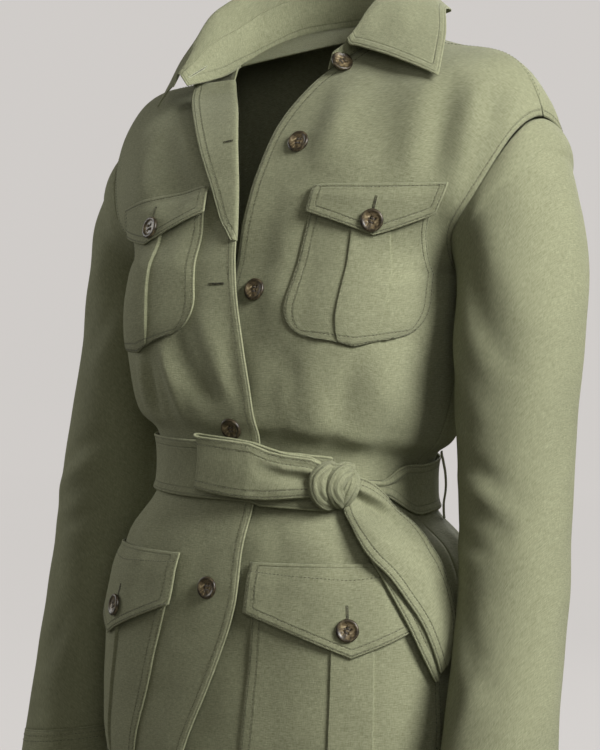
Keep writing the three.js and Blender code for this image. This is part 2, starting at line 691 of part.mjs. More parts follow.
function flapPoint(pocket, u, v, width) {
  const across = pocketAcross(pocket, u, 0) + mix(-FLAP_REACH, FLAP_REACH, u);
  const top = pocket.top_z + FLAP_ABOVE;
  const point = pocket.flap_point * (1 - Math.abs(2 * u - 1));
  const drop = mix(top, pocket.flap_z - point, v);
  const share = clamp((pocket.top_z - drop) / (pocket.top_z - pocket.low_z), 0, 1);
  const z = drop + pocket.tilt * u;
  const rise = pocketRise(pocket, u, share, width);
  const lifted = rise + pocket.flap_rise + (rise === WALL + pocket.gap ? 0 : PLEAT_RISE * clamp(v * 4, 0, 1));
  return onPanel(pocket.panel, across, placeAt(panels[pocket.panel], across, z), lifted + 2 * v);
}

function makeFlap(name, pocket) {
  const width = pocketWidth(pocket);
  const grid = steps(3).map((v) => steps(8).map((u) => flapPoint(pocket, u, v, width)));
  addPiece(name, thicken(gridFaces(grid, pocket.panel === "left"), WALL));
}

// A horn button: a disc with a raised rim and a dished middle
function buttonGeometry() {
  const profile = [
    [0, 0],
    [BUTTON_RADIUS - 1.2, 0],
    [BUTTON_RADIUS, 1.2],
    [BUTTON_RADIUS - 0.8, BUTTON_THICKNESS],
    [BUTTON_RADIUS - 2.6, BUTTON_THICKNESS - 0.2],
    [BUTTON_RADIUS - 4.2, BUTTON_THICKNESS - 1.1],
    [0, BUTTON_THICKNESS - 1.1],
  ];
  const points = profile.map(([r, z]) => new THREE.Vector2(r, z));
  const made = new THREE.LatheGeometry(points, BUTTON_SIDES);
  made.rotateX(Math.PI / 2);
  made.deleteAttribute("uv");
  made.deleteAttribute("normal");
  return made;
}

// Places a button with its back at a point and its face along a direction
function placeButton(name, point, normal) {
  const turn = new THREE.Quaternion().setFromUnitVectors(new THREE.Vector3(0, 0, 1), normal);
  const geometry = buttonGeometry();
  geometry.applyQuaternion(turn);
  geometry.translate(point.x, point.y, point.z);
  addPiece(name, geometry, HORN);
}

function makeFrontButtons() {
  for (const [name, spot] of Object.entries(BUTTONS)) {
    const panel = panels[spot.panel];
    const place = placeAt(panel, spot.across, spot.z);
    const point = onPanel(spot.panel, spot.across, place, spot.off);
    placeButton(name, point, panelNormal(panel, spot.across, place, TURN[spot.panel]));
  }
}

// The stand's button is on the outer face of its left end.
function makeStandButton() {
  const at = (place, up) => collarLine("seam", place).lerp(collarLine("top", place), up);
  const { place, up, off } = STAND_BUTTON;
  const along = at(place + 0.1, up).sub(at(place - 0.1, up));
  const rising = at(place, up + 0.1).sub(at(place, up - 0.1));
  const normal = along.cross(rising).normalize();
  placeButton("button_stand", at(place, up).addScaledVector(normal, off), normal);
}

function makeFlapButtons() {
  for (const [name, pocket] of Object.entries(POCKETS)) {
    const width = pocketWidth(pocket);
    const v = 0.72;
    const u = pocket.button;
    const here = flapPoint(pocket, u, v, width);
    const du = flapPoint(pocket, u + 0.06, v, width).sub(flapPoint(pocket, u - 0.06, v, width));
    const dv = flapPoint(pocket, u, v + 0.05, width).sub(flapPoint(pocket, u, v - 0.05, width));
    const normal = du.cross(dv).normalize();
    if (normal.y > 0) normal.negate();
    placeButton("button_" + name, here.addScaledVector(normal, BUTTON_GAP), normal);
  }
}

// A point over a front without the step down where it laps under
function overPanel(name, across, place, off) {
  return onPanel(name, across, place, off + lapUnder(name, across, place));
}

function makeBelt() {
  const columns = BELT_PATH.flatMap((part, k) =>
    steps(part.parts)
      .filter((share) => k === 0 || k === BELT_PATH.length - 1 || share > 0)
      .map((share) => {
        const across = mix(part.from, part.to, share);
        const gather = k === 0 ? (1 - share) ** 1.5 * 0.5 : 0;
        return BELT_ROWS.map((place) =>
          overPanel(part.panel, across, mix(place, 6, gather), BELT_RISE),
        );
      }),
  );
  addPiece("belt_band", thicken(gridFaces(columns, true), WALL));
}

// The half bow runs out from the knot under itself, turns at its fold and comes back over.
function bowPath() {
  const last = BOW.length - 1;
  const out = BOW.map((row, i) => ({ along: i / last, off: BOW_UNDER }));
  const back = out.map(({ along }) => ({ along, off: BOW_OVER })).reverse();
  out[last].along = 0.98;
  back[0].along = 0.98;
  return [...out, { along: 1, off: (BOW_UNDER + BOW_OVER) / 2 }, ...back];
}

function bowPoint(along, down, off) {
  const place = along * (BOW.length - 1);
  const i = clamp(Math.floor(place), 0, BOW.length - 2);
  const at = (row) => {
    const z = mix(row.top_z, row.low_z, down);
    return overPanel(row.panel, row.across, placeAt(panels[row.panel], row.across, z), off);
  };
  return at(BOW[i]).lerp(at(BOW[i + 1]), place - i);
}

function makeBow() {
  const grid = bowPath().map(({ along, off }) =>
    steps(3).map((down) => bowPoint(along, down, off)),
  );
  addPiece("belt_bow", thicken(gridFaces(grid, false), WALL));
}

function makeTail(name, table) {
  const grid = steps(9).map((down) => {
    const at = down * (table.length - 1);
    const value = (key) => smooth(table.map((row) => row[key]), at);
    return steps(3).map((share) => {
      const across = mix(value("in"), value("out"), share);
      const z = mix(value("in_z"), value("out_z"), share);
      const place = placeAt(panels.left, across, z);
      return onPanel("left", across, place, value("off") + 1.5 * Math.sin(Math.PI * share));
    });
  });
  addPiece(name, thicken(gridFaces(grid, true), WALL));
}

// The knot: a rounded lump of cloth with a crease down it
function makeKnot() {
  const place = placeAt(panels.left, KNOT.across, KNOT.z);
  const centre = onPanel("left", KNOT.across, place, KNOT.off);
  const normal = panelNormal(panels.left, KNOT.across, place, TURN.left);
  const ball = new THREE.SphereGeometry(1, 14, 9);
  const spots = ball.getAttribute("position");
  for (let i = 0; i < spots.count; i++) {
    const [x, y, z] = [spots.getX(i), spots.getY(i), spots.getZ(i)];
    const crease = 1 - 0.16 * Math.exp(-(((x - 0.35 * y) / 0.22) ** 2));
    spots.setXYZ(i, x * KNOT.wide, y * KNOT.tall * (1 - 0.12 * x), z * KNOT.deep * crease);
  }
  const turn = new THREE.Quaternion().setFromUnitVectors(new THREE.Vector3(0, 0, 1), normal);
  ball.applyQuaternion(turn);
  ball.translate(centre.x, centre.y, centre.z);
  ball.deleteAttribute("uv");
  ball.deleteAttribute("normal");
  addPiece("belt_knot", ball);
}

function makeCarrier(side) {
  const grid = CARRIER.map(({ row, off }) =>
    CARRIER_ACROSS.map((across) => onPanel("back_" + side, across, row, off)),
  );
  addPiece("belt_carrier_" + side, thicken(gridFaces(grid, side === "right"), WALL));
}

makeBack();
makeFront("left");
makeFront("right");
makeSleeve("left", ARMHOLE_LEFT, SLEEVE_LEFT);
makeSleeve("right", ARMHOLE_RIGHT, SLEEVE_RIGHT);
makeCuff("left", SLEEVE_LEFT);
makeCuff("right", SLEEVE_RIGHT);
makeStand();
makeLeaf();
makeLapel();
for (const [name, pocket] of Object.entries(POCKETS)) {
  makePocket("pocket_" + name, pocket);
  makeFlap("flap_" + name, pocket);
}
makeFrontButtons();
makeStandButton();
makeFlapButtons();
makeBelt();
makeBow();
makeTail("belt_tail_front", TAIL_FRONT);
makeTail("belt_tail_back", TAIL_BACK);
makeKnot();
makeCarrier("left");
makeCarrier("right");

export default root;
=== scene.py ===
import json
import math

import bpy
import numpy as np
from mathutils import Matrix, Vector

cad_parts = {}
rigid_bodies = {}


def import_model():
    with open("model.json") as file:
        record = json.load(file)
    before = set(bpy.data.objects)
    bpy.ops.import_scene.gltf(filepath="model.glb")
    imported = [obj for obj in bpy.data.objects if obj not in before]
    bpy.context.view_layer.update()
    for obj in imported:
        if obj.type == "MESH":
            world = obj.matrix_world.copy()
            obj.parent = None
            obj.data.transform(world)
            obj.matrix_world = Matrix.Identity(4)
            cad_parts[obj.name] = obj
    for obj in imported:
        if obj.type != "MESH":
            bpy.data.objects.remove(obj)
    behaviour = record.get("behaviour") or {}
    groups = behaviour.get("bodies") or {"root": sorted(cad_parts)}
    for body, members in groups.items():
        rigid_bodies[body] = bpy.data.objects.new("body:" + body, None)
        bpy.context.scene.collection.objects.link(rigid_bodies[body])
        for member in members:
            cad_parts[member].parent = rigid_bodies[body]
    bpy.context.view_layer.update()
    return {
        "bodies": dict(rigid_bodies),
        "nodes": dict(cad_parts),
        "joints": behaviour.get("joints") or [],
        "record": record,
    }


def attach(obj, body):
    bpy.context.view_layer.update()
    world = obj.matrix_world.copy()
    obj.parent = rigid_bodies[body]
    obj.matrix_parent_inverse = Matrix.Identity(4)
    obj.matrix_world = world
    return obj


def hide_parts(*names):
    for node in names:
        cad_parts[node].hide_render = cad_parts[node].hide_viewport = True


# Linen safari jacket with a tied belt. Sizes are in millimetres and become metres in the meshes.
# It faces -Y, the wearer's left is +X and up is +Z.

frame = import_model()

MM = 0.001

# Cloth, seams and trim
WALL = 1.5
RIM_ROUND = 0.4
SIDE_GAP = 0.25
SHOULDER_GAP = 1.3
SLEEVE_START = 0.045
SLEEVE_GAP = 0.002
CAP_FULLNESS = 4.0
CAP_LENGTH = 0.55
CAP_REACH = 0.25
SLEEVE_DEGREE = 0.85
ALLOWANCE = 5.0
ALLOWANCE_UNDER = 2.0
FRONT_LAP = 5
SQUARENESS = 0.86
MIDDLE_X = -8
LIFT_OUTWARD = 2.7
LIFT_FULLNESS = 0.6
BUTTON_GAP = 0.6
LAPEL_GAP = 1.1
TURNBACK_RISE = 6.0
FLAP_SEWN_CHEST = 1.8
FLAP_SEWN_HIP = 8.0
FLAP_SPREAD = 1.8
PLEAT_WIDTH = 37
PLEAT_RISE = 2.4
PLEAT_EDGE = 0.006
POCKET_SEAT = 0.35
FLAP_SEAT = 1.6
FLAP_REACH = 0.018
FLAP_ABOVE = 6
BELT_RISE = 2.8
BELT_WALL = 2.0
CUFF_WALL = 2.2
CUFF_EASE = 0.6
CUFF_GAP = 0.2
POCKET_FULLNESS = 1.04
PUFF_POWER = 0.6

# Sewing
STITCH_LENGTH = 2.6
STITCH_GAP = 1.0
STITCH_WIDTH = 0.6
STITCH_HEIGHT = 0.35
STITCH_LIFT = 0.1
STRIP_LIFT = 0.12
CUFF_LIFT = 0.15
ROW_NEAR = 1.6
ROW_FAR = 7.2

# Mesh fineness, as divisions
FINE = 1
FRONT_GRID = (round(230 * FINE), round(84 * FINE))
SLEEVE_GRID = (round(150 * FINE), round(112 * FINE))
COLLAR_COLUMNS = round(150 * FINE)
POCKET_GRID = (round(60 * FINE), round(60 * FINE))
FLAP_GRID = (round(26 * FINE), round(60 * FINE))
BELT_COLUMNS = round(320 * FINE)
TAIL_GRID = (90, 28)
CUFF_ROWS = 24


def table(names, *rows):
    """Rows of values under named columns."""
    return [dict(zip(names.split(), row)) for row in rows]


# Armhole seams, eight stations from the underarm up the front, over the tip and down the back
ARMHOLE_LEFT = table(
    "x y z",
    (162, 8, -238),
    (175, -35, -208),
    (204, -48, -174),
    (230, -24, -122),
    (237, 16, -104),
    (235, 58, -122),
    (206, 76, -166),
    (170, 49, -210),
)
ARMHOLE_RIGHT = table(
    "x y z",
    (-165, 12, -238),
    (-175, -25, -208),
    (-200, -33, -176),
    (-225, -6, -124),
    (-235, 32, -101),
    (-227, 66, -122),
    (-202, 84, -164),
    (-173, 60, -210),
)

# Sections of each front from hem to shoulder seam: the point on its front edge, then its outer
# point on the side seam, or the armhole station as arm; round is how far the section follows
# the rounded trunk, swell pushes its middle out and lift raises it over the shoulder.
FRONT_LEFT = table(
    "edge side round swell lift",
    ((-70, -131.5, -704), (168, 6, -700), 1, 0, 0),
    ((-66, -131, -650), (168, 6, -645), 1, 0, 0),
    ((-60, -129, -590), (166, 6, -590), 1, 0, 0),
    ((-53, -128.5, -530), (163, 6, -530), 1, 0, 0),
    ((-44, -123.5, -475), (148, 5, -482), 1, 0, 0),
    ((-37, -117, -438), (119, 4, -453), 1, 0, 0),
    ((-33, -115.5, -410), (114, 4, -427), 1, 0, 0),
    ((-30, -118, -382), (118, 3, -402), 1, 0, 0),
    ((-28, -125.5, -366), (138, 2, -385), 1, 4, 0),
    ((-24, -128.5, -340), (151, 2, -355), 1, 6, 0),
    ((-16, -128.5, -305), (160, 2, -312), 1, 8, 0),
    ((-5, -126, -265), (162, 4, -270), 1, 9, 0),
) + table(
    "edge arm round swell lift",
    ((3, -119, -228), 0, 1, 9, 0),
    ((8, -113, -190), 0.6, 0.85, 6, 0),
    ((16, -103, -150), 1.2, 0.7, 9, 0),
    ((28, -86, -105), 1.85, 0.5, 13, 0),
    ((52, -67, -68), 2.45, 0.3, 15, 14),
    ((78, -50, -46), 2.95, 0.2, 11, 30),
    ((91, -26, -27), 3.5, 0.1, 5, 34),
    ((97, 0, -14), 4, 0, 0, 37),
)
FRONT_RIGHT = table(
    "edge side round swell lift",
    ((-52, -136, -704), (-196, 6, -696), 1, 0, 0),
    ((-38, -135, -650), (-196, 6, -642), 1, 0, 0),
    ((-10, -134, -590), (-194, 6, -585), 1, 0, 0),
    ((13, -132, -530), (-190, 6, -525), 1, 0, 0),
    ((18, -126, -475), (-176, 5, -472), 1, 0, 0),
    ((24, -118, -438), (-141, 4, -428), 1, 0, 0),
    ((28, -116, -410), (-134, 4, -400), 1, 0, 0),
    ((31, -118, -382), (-137, 3, -372), 1, 0, 0),
    ((30, -125, -362), (-155, 2, -354), 1, 4, 0),
    ((28, -129, -336), (-163, 2, -330), 1, 6, 0),
    ((22, -130, -302), (-167, 2, -300), 1, 8, 0),
    ((14, -128, -262), (-168, 4, -266), 1, 9, 0),
) + table(
    "edge arm round swell lift",
    ((8, -123, -226), 0, 1, 9, 0),
    ((4, -115, -195), 0.6, 0.85, 6, 0),
    ((-3, -104, -158), 1.2, 0.7, 9, 0),
    ((-14, -91, -122), 1.85, 0.5, 14, 0),
    ((-34, -64, -86), 2.45, 0.3, 17, 10),
    ((-60, -32, -64), 2.95, 0.2, 15, 24),
    ((-79, -8, -48), 3.5, 0.1, 7, 31),
    ((-92, 16, -30), 4, 0, 0, 34),
)

# Centre back line, hem to neck; its last two points run along the neck seam to the left
# and right shoulder, and arm counts the armhole stations down the back.
BACK_LINE = [
    dict(y=128, z=-704),
    dict(y=130, z=-650),
    dict(y=128, z=-590),
    dict(y=123, z=-530),
    dict(y=115, z=-477),
    dict(y=105, z=-440),
    dict(y=102, z=-412),
    dict(y=105, z=-385),
    dict(y=114, z=-366),
    dict(y=119, z=-340),
    dict(y=121, z=-305),
    dict(y=119, z=-267),
    dict(y=116, z=-236, arm=8, round=1, swell=0, lift=0),
    dict(y=113, z=-196, arm=7.4, round=0.85, swell=3, lift=0),
    dict(y=108, z=-150, arm=6.8, round=0.7, swell=8, lift=0),
    dict(y=98, z=-102, arm=6.2, round=0.5, swell=15, lift=2),
    dict(y=86, z=-54, arm=5.6, round=0.35, swell=16, lift=12),
    dict(y=72, z=6, arm=5.1, round=0.2, swell=8, lift=24, corner=True),
]
BACK_NECK_LEFT = [
    dict(edge=(60, 56, 5), arm=4.55, round=0.1, swell=4, lift=31),
    dict(edge=(97, 0, -14), arm=4, round=0, swell=0, lift=37),
]
BACK_NECK_RIGHT = [
    dict(edge=(-60, 60, 0), arm=4.55, round=0.1, swell=4, lift=29),
    dict(edge=(-92, 16, -30), arm=4, round=0, swell=0, lift=34),
]

# Sleeve rings below the armhole: centre, tilt in degrees about Y, half width and half depth
SLEEVE_LEFT = table(
    "x y z tilt wide deep",
    (213, 14, -204, 42, 65, 65),
    (221, 8, -248, 22, 57, 66),
    (220, 4, -300, 8, 54, 64),
    (218, 3, -360, 2, 51, 59),
    (217, 3, -430, 0, 48, 54),
    (217, 0, -500, 0, 47, 52),
    (219, -12, -560, 0, 47, 52),
    (222, -30, -620, 0, 48, 53),
    (225, -43, -666, -4, 49, 54),
)
SLEEVE_RIGHT = table(
    "x y z tilt wide deep",
    (-217, 37, -204, -42, 63, 64),
    (-222, 33, -248, -22, 53, 62),
    (-223, 22, -300, -8, 50, 59),
    (-226, 8, -360, -2, 49, 56),
    (-233, -2, -430, 0, 48, 54),
    (-242, -8, -500, 0, 46, 52),
    (-246, -16, -560, 2, 47, 52),
    (-252, -22, -620, 4, 48, 53),
    (-256, -28, -666, 6, 49, 54),
)
CUFF_LENGTH = 62
CUFF_FLARE = 4

# Neck seam, top of the stand, roll line of the collar and its outer edge, left end to right end
COLLAR_LINES = table(
    "seam top roll out",
    ((64, -60, -57), (70, -62, -42), (78, -62, -44), (174, -58, -76)),
    ((78, -50, -46), (84, -52, -28), (90, -55, -30), (172, -50, -64)),
    ((91, -26, -27), (87, -27, -4), (92, -31, 0), (160, -20, -28)),
    ((97, 0, -14), (87, 0, 14), (95, 0, 20), (138, 16, 0)),
    ((84, 37, -2), (76, 35, 28), (83, 42, 38), (112, 66, 8)),
    ((50, 60, 6), (45, 55, 37), (48, 65, 48), (62, 96, 10)),
    ((0, 72, 7), (0, 64, 40), (0, 75, 52), (0, 106, 10)),
    ((-50, 63, 3), (-45, 57, 37), (-48, 68, 50), (-64, 99, 6)),
    ((-82, 40, -15), (-78, 37, 22), (-86, 44, 42), (-116, 72, -4)),
    ((-92, 16, -30), (-92, 14, 4), (-102, 14, 30), (-142, 32, -20)),
    ((-91, -16, -46), (-98, -18, -14), (-107, -18, 2), (-152, -6, -40)),
    ((-97, -56, -58), (-104, -58, -47), (-113, -56, -56), (-142, -42, -72)),
)
LEAF_START = 0.06
STAND_LIFT = 1.4

# Turned-back edge of the right front: share of the front's width it covers, and its stand-off
LAPEL = table(
    "row wide off",
    (12.6, 0.01, 1.2),
    (13.2, 0.04, 2.5),
    (14, 0.075, 4),
    (15, 0.13, 5.5),
    (16, 0.19, 7),
    (16.8, 0.22, 8),
    (17.35, 0.22, 9),
)

# Patch pockets: share of the panel's width at each corner, and heights of top and bottom
POCKETS = {
    "chest_left": dict(
        panel="left", top_in=0.27, top_out=0.825, low_in=0.2, low_out=0.83,
        tilt=0, top_z=-168, low_z=-293, point=8, gap=1, puff=4, round=34,
        flap_rise=1.7, flap_z=-185, flap_point=20, button=0.49,
    ),
    "chest_right": dict(
        panel="right", top_in=0.118, top_out=0.67, low_in=0.12, low_out=0.69,
        tilt=-13, top_z=-163, low_z=-290, point=8, gap=1, puff=4, round=34,
        flap_rise=1.1, flap_z=-182, flap_point=21, button=0.44,
    ),
    "hip_left": dict(
        panel="left", top_in=0.215, top_out=0.86, low_in=0.215, low_out=0.88,
        tilt=0, top_z=-493, low_z=-688, point=0, gap=2, puff=3, round=0,
        flap_rise=2.2, flap_z=-530, flap_point=35, button=0.48,
    ),
    "hip_right": dict(
        panel="right", top_in=0.19, top_out=0.8, low_in=0.24, low_out=0.84,
        tilt=4, top_z=-489, low_z=-682, point=0, gap=1.2, puff=5, round=0,
        flap_rise=1.5, flap_z=-528, flap_point=36, button=0.42,
    ),
}

# Buttons: the panel they sit on, share of its width, height, and how far off the panel
BUTTONS = {
    "button_front_1": dict(panel="left", across=0.115, z=-122, off=0.5),
    "button_front_2": dict(panel="left", across=0.089, z=-250, off=0.5),
    "button_front_3": dict(panel="right", across=0.087, z=-371, off=1.4),
    "button_front_4": dict(panel="right", across=0.072, z=-511, off=-0.1),
}
STAND_BUTTON = dict(place=0.62, up=0.5, off=4)

# The belt runs round the waist under the knot, by panel and share of its width
BELT_PATH = table(
    "panel start stop parts",
    ("left", 0.57, 1, 5),
    ("back_left", 1, 0, 7),
    ("back_right", 0, 1, 7),
    ("right", 1, 0.01, 9),
    ("left", 0.24, 0.545, 4),
)
BELT_ROWS = [6.9, 6, 5.1]
# Half bow over the belt, from the knot to its fold
BOW = table(
    "panel across top_z low_z",
    ("left", 0.545, -405, -424),
    ("left", 0.455, -394, -431),
    ("left", 0.35, -391, -433),
    ("left", 0.286, -386, -434),
    ("right", 0.01, -382, -433),
    ("right", 0.072, -379, -431),
    ("right", 0.135, -376, -428),
    ("right", 0.196, -373, -425),
)
BOW_UNDER = 6.4
BOW_OVER = 14
# The two hanging ends, by inner and outer edge, and how far off the front
TAIL_FRONT = table(
    "inner inner_z outer outer_z off",
    (0.6, -432, 0.655, -412, 9),
    (0.591, -453, 0.731, -419, 11),
    (0.586, -470, 0.8, -433, 13),
    (0.612, -485, 0.835, -456, 15),
    (0.662, -500, 0.845, -477, 17),
    (0.715, -520, 0.868, -492, 17.5),
    (0.763, -540, 0.882, -512, 17.5),
    (0.8, -562, 0.885, -538, 17.5),
    (0.822, -580, 0.872, -562, 17.5),
)
TAIL_BACK = table(
    "inner inner_z outer outer_z off",
    (0.66, -440, 0.76, -428, 5.4),
    (0.614, -474, 0.8, -455, 7.5),
    (0.646, -500, 0.79, -488, 10),
    (0.69, -524, 0.8, -516, 12),
    (0.745, -552, 0.825, -548, 12.5),
    (0.815, -588, 0.835, -586, 12),
)
KNOT = dict(across=0.552, z=-420, off=18, wide=19, tall=17, deep=11)
# Belt carriers behind the side seams: place in the sections and how far off the panel
CARRIER_ACROSS = [0.72, 0.76]
CARRIER = table(
    "row off",
    (7.25, 2.4),
    (7, 7),
    (6.5, 11.5),
    (6, 12.8),
    (5.5, 11.5),
    (5, 7),
    (4.75, 2.2),
)

# Relief of the cloth: each row is one soft fold from a start to an end.
# On a panel a fold runs through x and z, on a sleeve through degrees round it (0 underarm,
# 90 front, 180 outside, 270 back) and z; deep is negative for a trough, and bend bows it.
FOLDS = {
    "left": table(
        "start end wide deep bend",
        ((115, -50), (149, -168), 24, -4.8, 2),
        ((90, -74), (77, -150), 14, 2.6, -2),
        ((200, -70), (184, -194), 11, 3.6, -5),
        ((182, -62), (175, -160), 13, -3.4, -2),
        ((220, -74), (212, -114), 8, -2.6, 1),
        ((63, -160), (56, -266), 17, 2.4, 4),
        ((146, -299), (133, -375), 12, 2.6, 2),
        ((158, -292), (140, -380), 9, -1.9, -2),
        ((123, -305), (108, -380), 11, -2.4, 3),
        ((77, -287), (88, -366), 15, 2.2, -3),
        ((20, -230), (70, -300), 16, 1.6, -6),
        ((-4, -300), (40, -362), 12, -1.6, 5),
        ((96, -306), (104, -376), 12, -2.2, 4),
        ((60, -322), (58, -378), 10, 1.8, -3),
        ((140, -250), (152, -350), 13, -2.0, 6),
        ((-40, -462), (-8, -560), 14, 1.6, 6),
        ((10, -462), (20, -500), 12, -1.6, 2),
        ((-60, -560), (-50, -690), 15, -1.6, 5),
    ),
    "right": table(
        "start end wide deep bend",
        ((-131, -106), (-58, -176), 18, -3.6, 2),
        ((-117, -80), (-38, -160), 11, 2.8, -3),
        ((-6, -178), (-44, -236), 14, -2.0, 5),
        ((2, -236), (-30, -330), 15, 2.0, 6),
        ((-54, -286), (-10, -352), 10, -4.0, 3),
        ((-72, -296), (-44, -372), 8, 3.8, -3),
        ((-90, -300), (-76, -370), 6, -3.6, 1),
        ((-104, -310), (-98, -368), 7, 2.6, -2),
        ((-18, -270), (8, -346), 10, 3.2, 2),
        ((6, -277), (21, -354), 7, -2.8, 2),
        ((-20, -460), (-54, -560), 15, -1.6, -6),
        ((-96, -462), (-100, -500), 12, 1.6, 3),
        ((-20, -580), (-60, -690), 16, 1.8, 5),
    ),
    "back_left": table(
        "start end wide deep bend",
        ((40, -20), (120, -130), 18, -2.0, 8),
        ((90, -50), (170, -170), 15, 2.4, 8),
        ((190, -150), (110, -250), 14, -2.6, -10),
        ((150, -230), (70, -330), 16, 2.2, -8),
        ((30, -250), (44, -360), 17, -2.4, 5),
        ((84, -300), (90, -372), 12, 2.4, -4),
        ((52, -470), (70, -600), 20, 2.0, 6),
        ((110, -478), (122, -640), 18, -2.2, -6),
    ),
    "back_right": table(
        "start end wide deep bend",
        ((-36, -24), (-110, -120), 17, 2.0, -7),
        ((-100, -64), (-168, -176), 15, -2.4, -8),
        ((-176, -150), (-96, -262), 15, 2.4, 8),
        ((-150, -250), (-84, -340), 13, -2.2, 6),
        ((-24, -262), (-30, -356), 15, 2.2, -5),
        ((-74, -290), (-80, -360), 12, -2.4, 4),
        ((-40, -470), (-56, -620), 18, -2.0, -6),
        ((-112, -474), (-126, -610), 18, 2.2, 5),
    ),
    "sleeve_left": table(
        "start end wide deep bend",
        ((60, -214), (128, -330), 11, -2.6, 8),
        ((92, -168), (140, -300), 13, 2.2, 8),
        ((30, -260), (96, -372), 12, 2.2, 6),
        ((36, -396), (112, -420), 9, -2.6, -6),
        ((52, -420), (130, -452), 10, 2.4, -6),
        ((30, -450), (100, -474), 8, -2.2, 5),
        ((250, -180), (220, -330), 14, -2.4, -8),
        ((290, -230), (246, -360), 12, 2.2, -6),
        ((230, -400), (300, -452), 11, 2.2, 6),
        ((60, -520), (120, -600), 12, -1.8, 5),
        ((96, -560), (60, -640), 11, 1.8, -5),
        ((190, -520), (220, -640), 14, -1.6, 6),
    ),
    "sleeve_right": table(
        "start end wide deep bend",
        ((60, -206), (120, -320), 12, -2.4, 8),
        ((90, -166), (150, -290), 13, 2.2, 8),
        ((36, -380), (120, -410), 10, -2.6, -6),
        ((50, -408), (150, -446), 10, 2.6, -6),
        ((40, -444), (120, -470), 9, -2.2, 5),
        ((250, -190), (220, -330), 13, -2.2, -8),
        ((240, -390), (310, -450), 11, 2.2, 6),
        ((70, -530), (120, -620), 12, -1.8, 5),
        ((200, -500), (180, -640), 13, 1.6, 6),
    ),
}

# Tucks that the belt draws in: share across each panel, half width, depth, reach up and down
TUCKS = table(
    "across wide deep up down",
    (0.16, 8, 1.4, 48, 40),
    (0.29, 6, -1.5, 34, 56),
    (0.41, 9, 1.3, 60, 36),
    (0.52, 6, -1.6, 46, 50),
    (0.63, 8, 1.7, 38, 64),
    (0.74, 6, -1.6, 58, 40),
    (0.85, 8, 1.6, 44, 54),
    (0.94, 5, -1.3, 34, 34),
)


# Number helpers

def mix(a, b, share):
    return a + (b - a) * share


def smooth(values, place):
    """Smooth values at fractional places in a list of numbers or points."""
    values = np.asarray(values, float)
    place = np.asarray(place, float)
    before = 2 * values[0] - values[1]
    after = 2 * values[-1] - values[-2]
    padded = np.concatenate([[before], values, [after]])
    i = np.clip(np.floor(place).astype(int), 0, len(values) - 2)
    f = place - i
    f = f.reshape(f.shape + (1,) * (values.ndim - 1))
    a, b, c, d = (padded[i + k] for k in range(4))
    bend = 2 * a - 5 * b + 4 * c - d
    twist = 3 * b - a - 3 * c + d
    return 0.5 * (2 * b + (c - a) * f + bend * f * f + twist * f**3)


def smooth_round(values, place):
    """The same round a closed list."""
    values = np.asarray(values, float)
    place = np.asarray(place, float)
    start = np.floor(place).astype(int)
    f = place - start
    if values.ndim > 1:
        f = f[..., None]
    a, b, c, d = (values[(start + k) % len(values)] for k in (-1, 0, 1, 2))
    bend = 2 * a - 5 * b + 4 * c - d
    twist = 3 * b - a - 3 * c + d
    return 0.5 * (2 * b + (c - a) * f + bend * f * f + twist * f**3)


def points_of(rows, *names):
    return np.array([[row[name] for name in names] for row in rows], float)


def armhole(stations, place):
    return smooth_round(points_of(stations, "x", "y", "z"), place)


def unit(vectors):
    length = np.linalg.norm(vectors, axis=-1, keepdims=True)
    return vectors / np.maximum(length, 1e-9)


def hump(share):
    """0 at both ends of 0 to 1 and full in the middle."""
    return np.sin(np.pi * np.clip(share, 0, 1))


def ripple(x, z, seed):
    """Gentle uneven waves of about 1 over a surface."""
    random = np.random.default_rng(seed)
    total = np.zeros(np.broadcast(x, z).shape)
    for _ in range(7):
        turn = random.uniform(0, 2 * np.pi)
        pitch = random.uniform(34, 110)
        phase = random.uniform(0, 2 * np.pi)
        total += np.sin((x * np.cos(turn) + z * np.sin(turn)) * 2 * np.pi / pitch + phase)
    return total / 3


def fold_height(folds, a, b):
    """Summed height of soft folds at a point given in the folds' own two directions."""
    total = np.zeros(np.broadcast(a, b).shape)
    for fold in folds:
        (a0, b0), (a1, b1) = fold["start"], fold["end"]
        run = (a1 - a0, b1 - b0)
        length = math.hypot(*run)
        along = ((a - a0) * run[0] + (b - b0) * run[1]) / length**2
        off = ((a - a0) * run[1] - (b - b0) * run[0]) / length
        off = (off - fold["bend"] * hump(along)) / fold["wide"]
        profile = np.exp(-(off**2)) - 0.45 * np.exp(-((off - 1.7) ** 2))
        total += fold["deep"] * profile * hump(along) ** 0.7
    return total


# The panels of the body

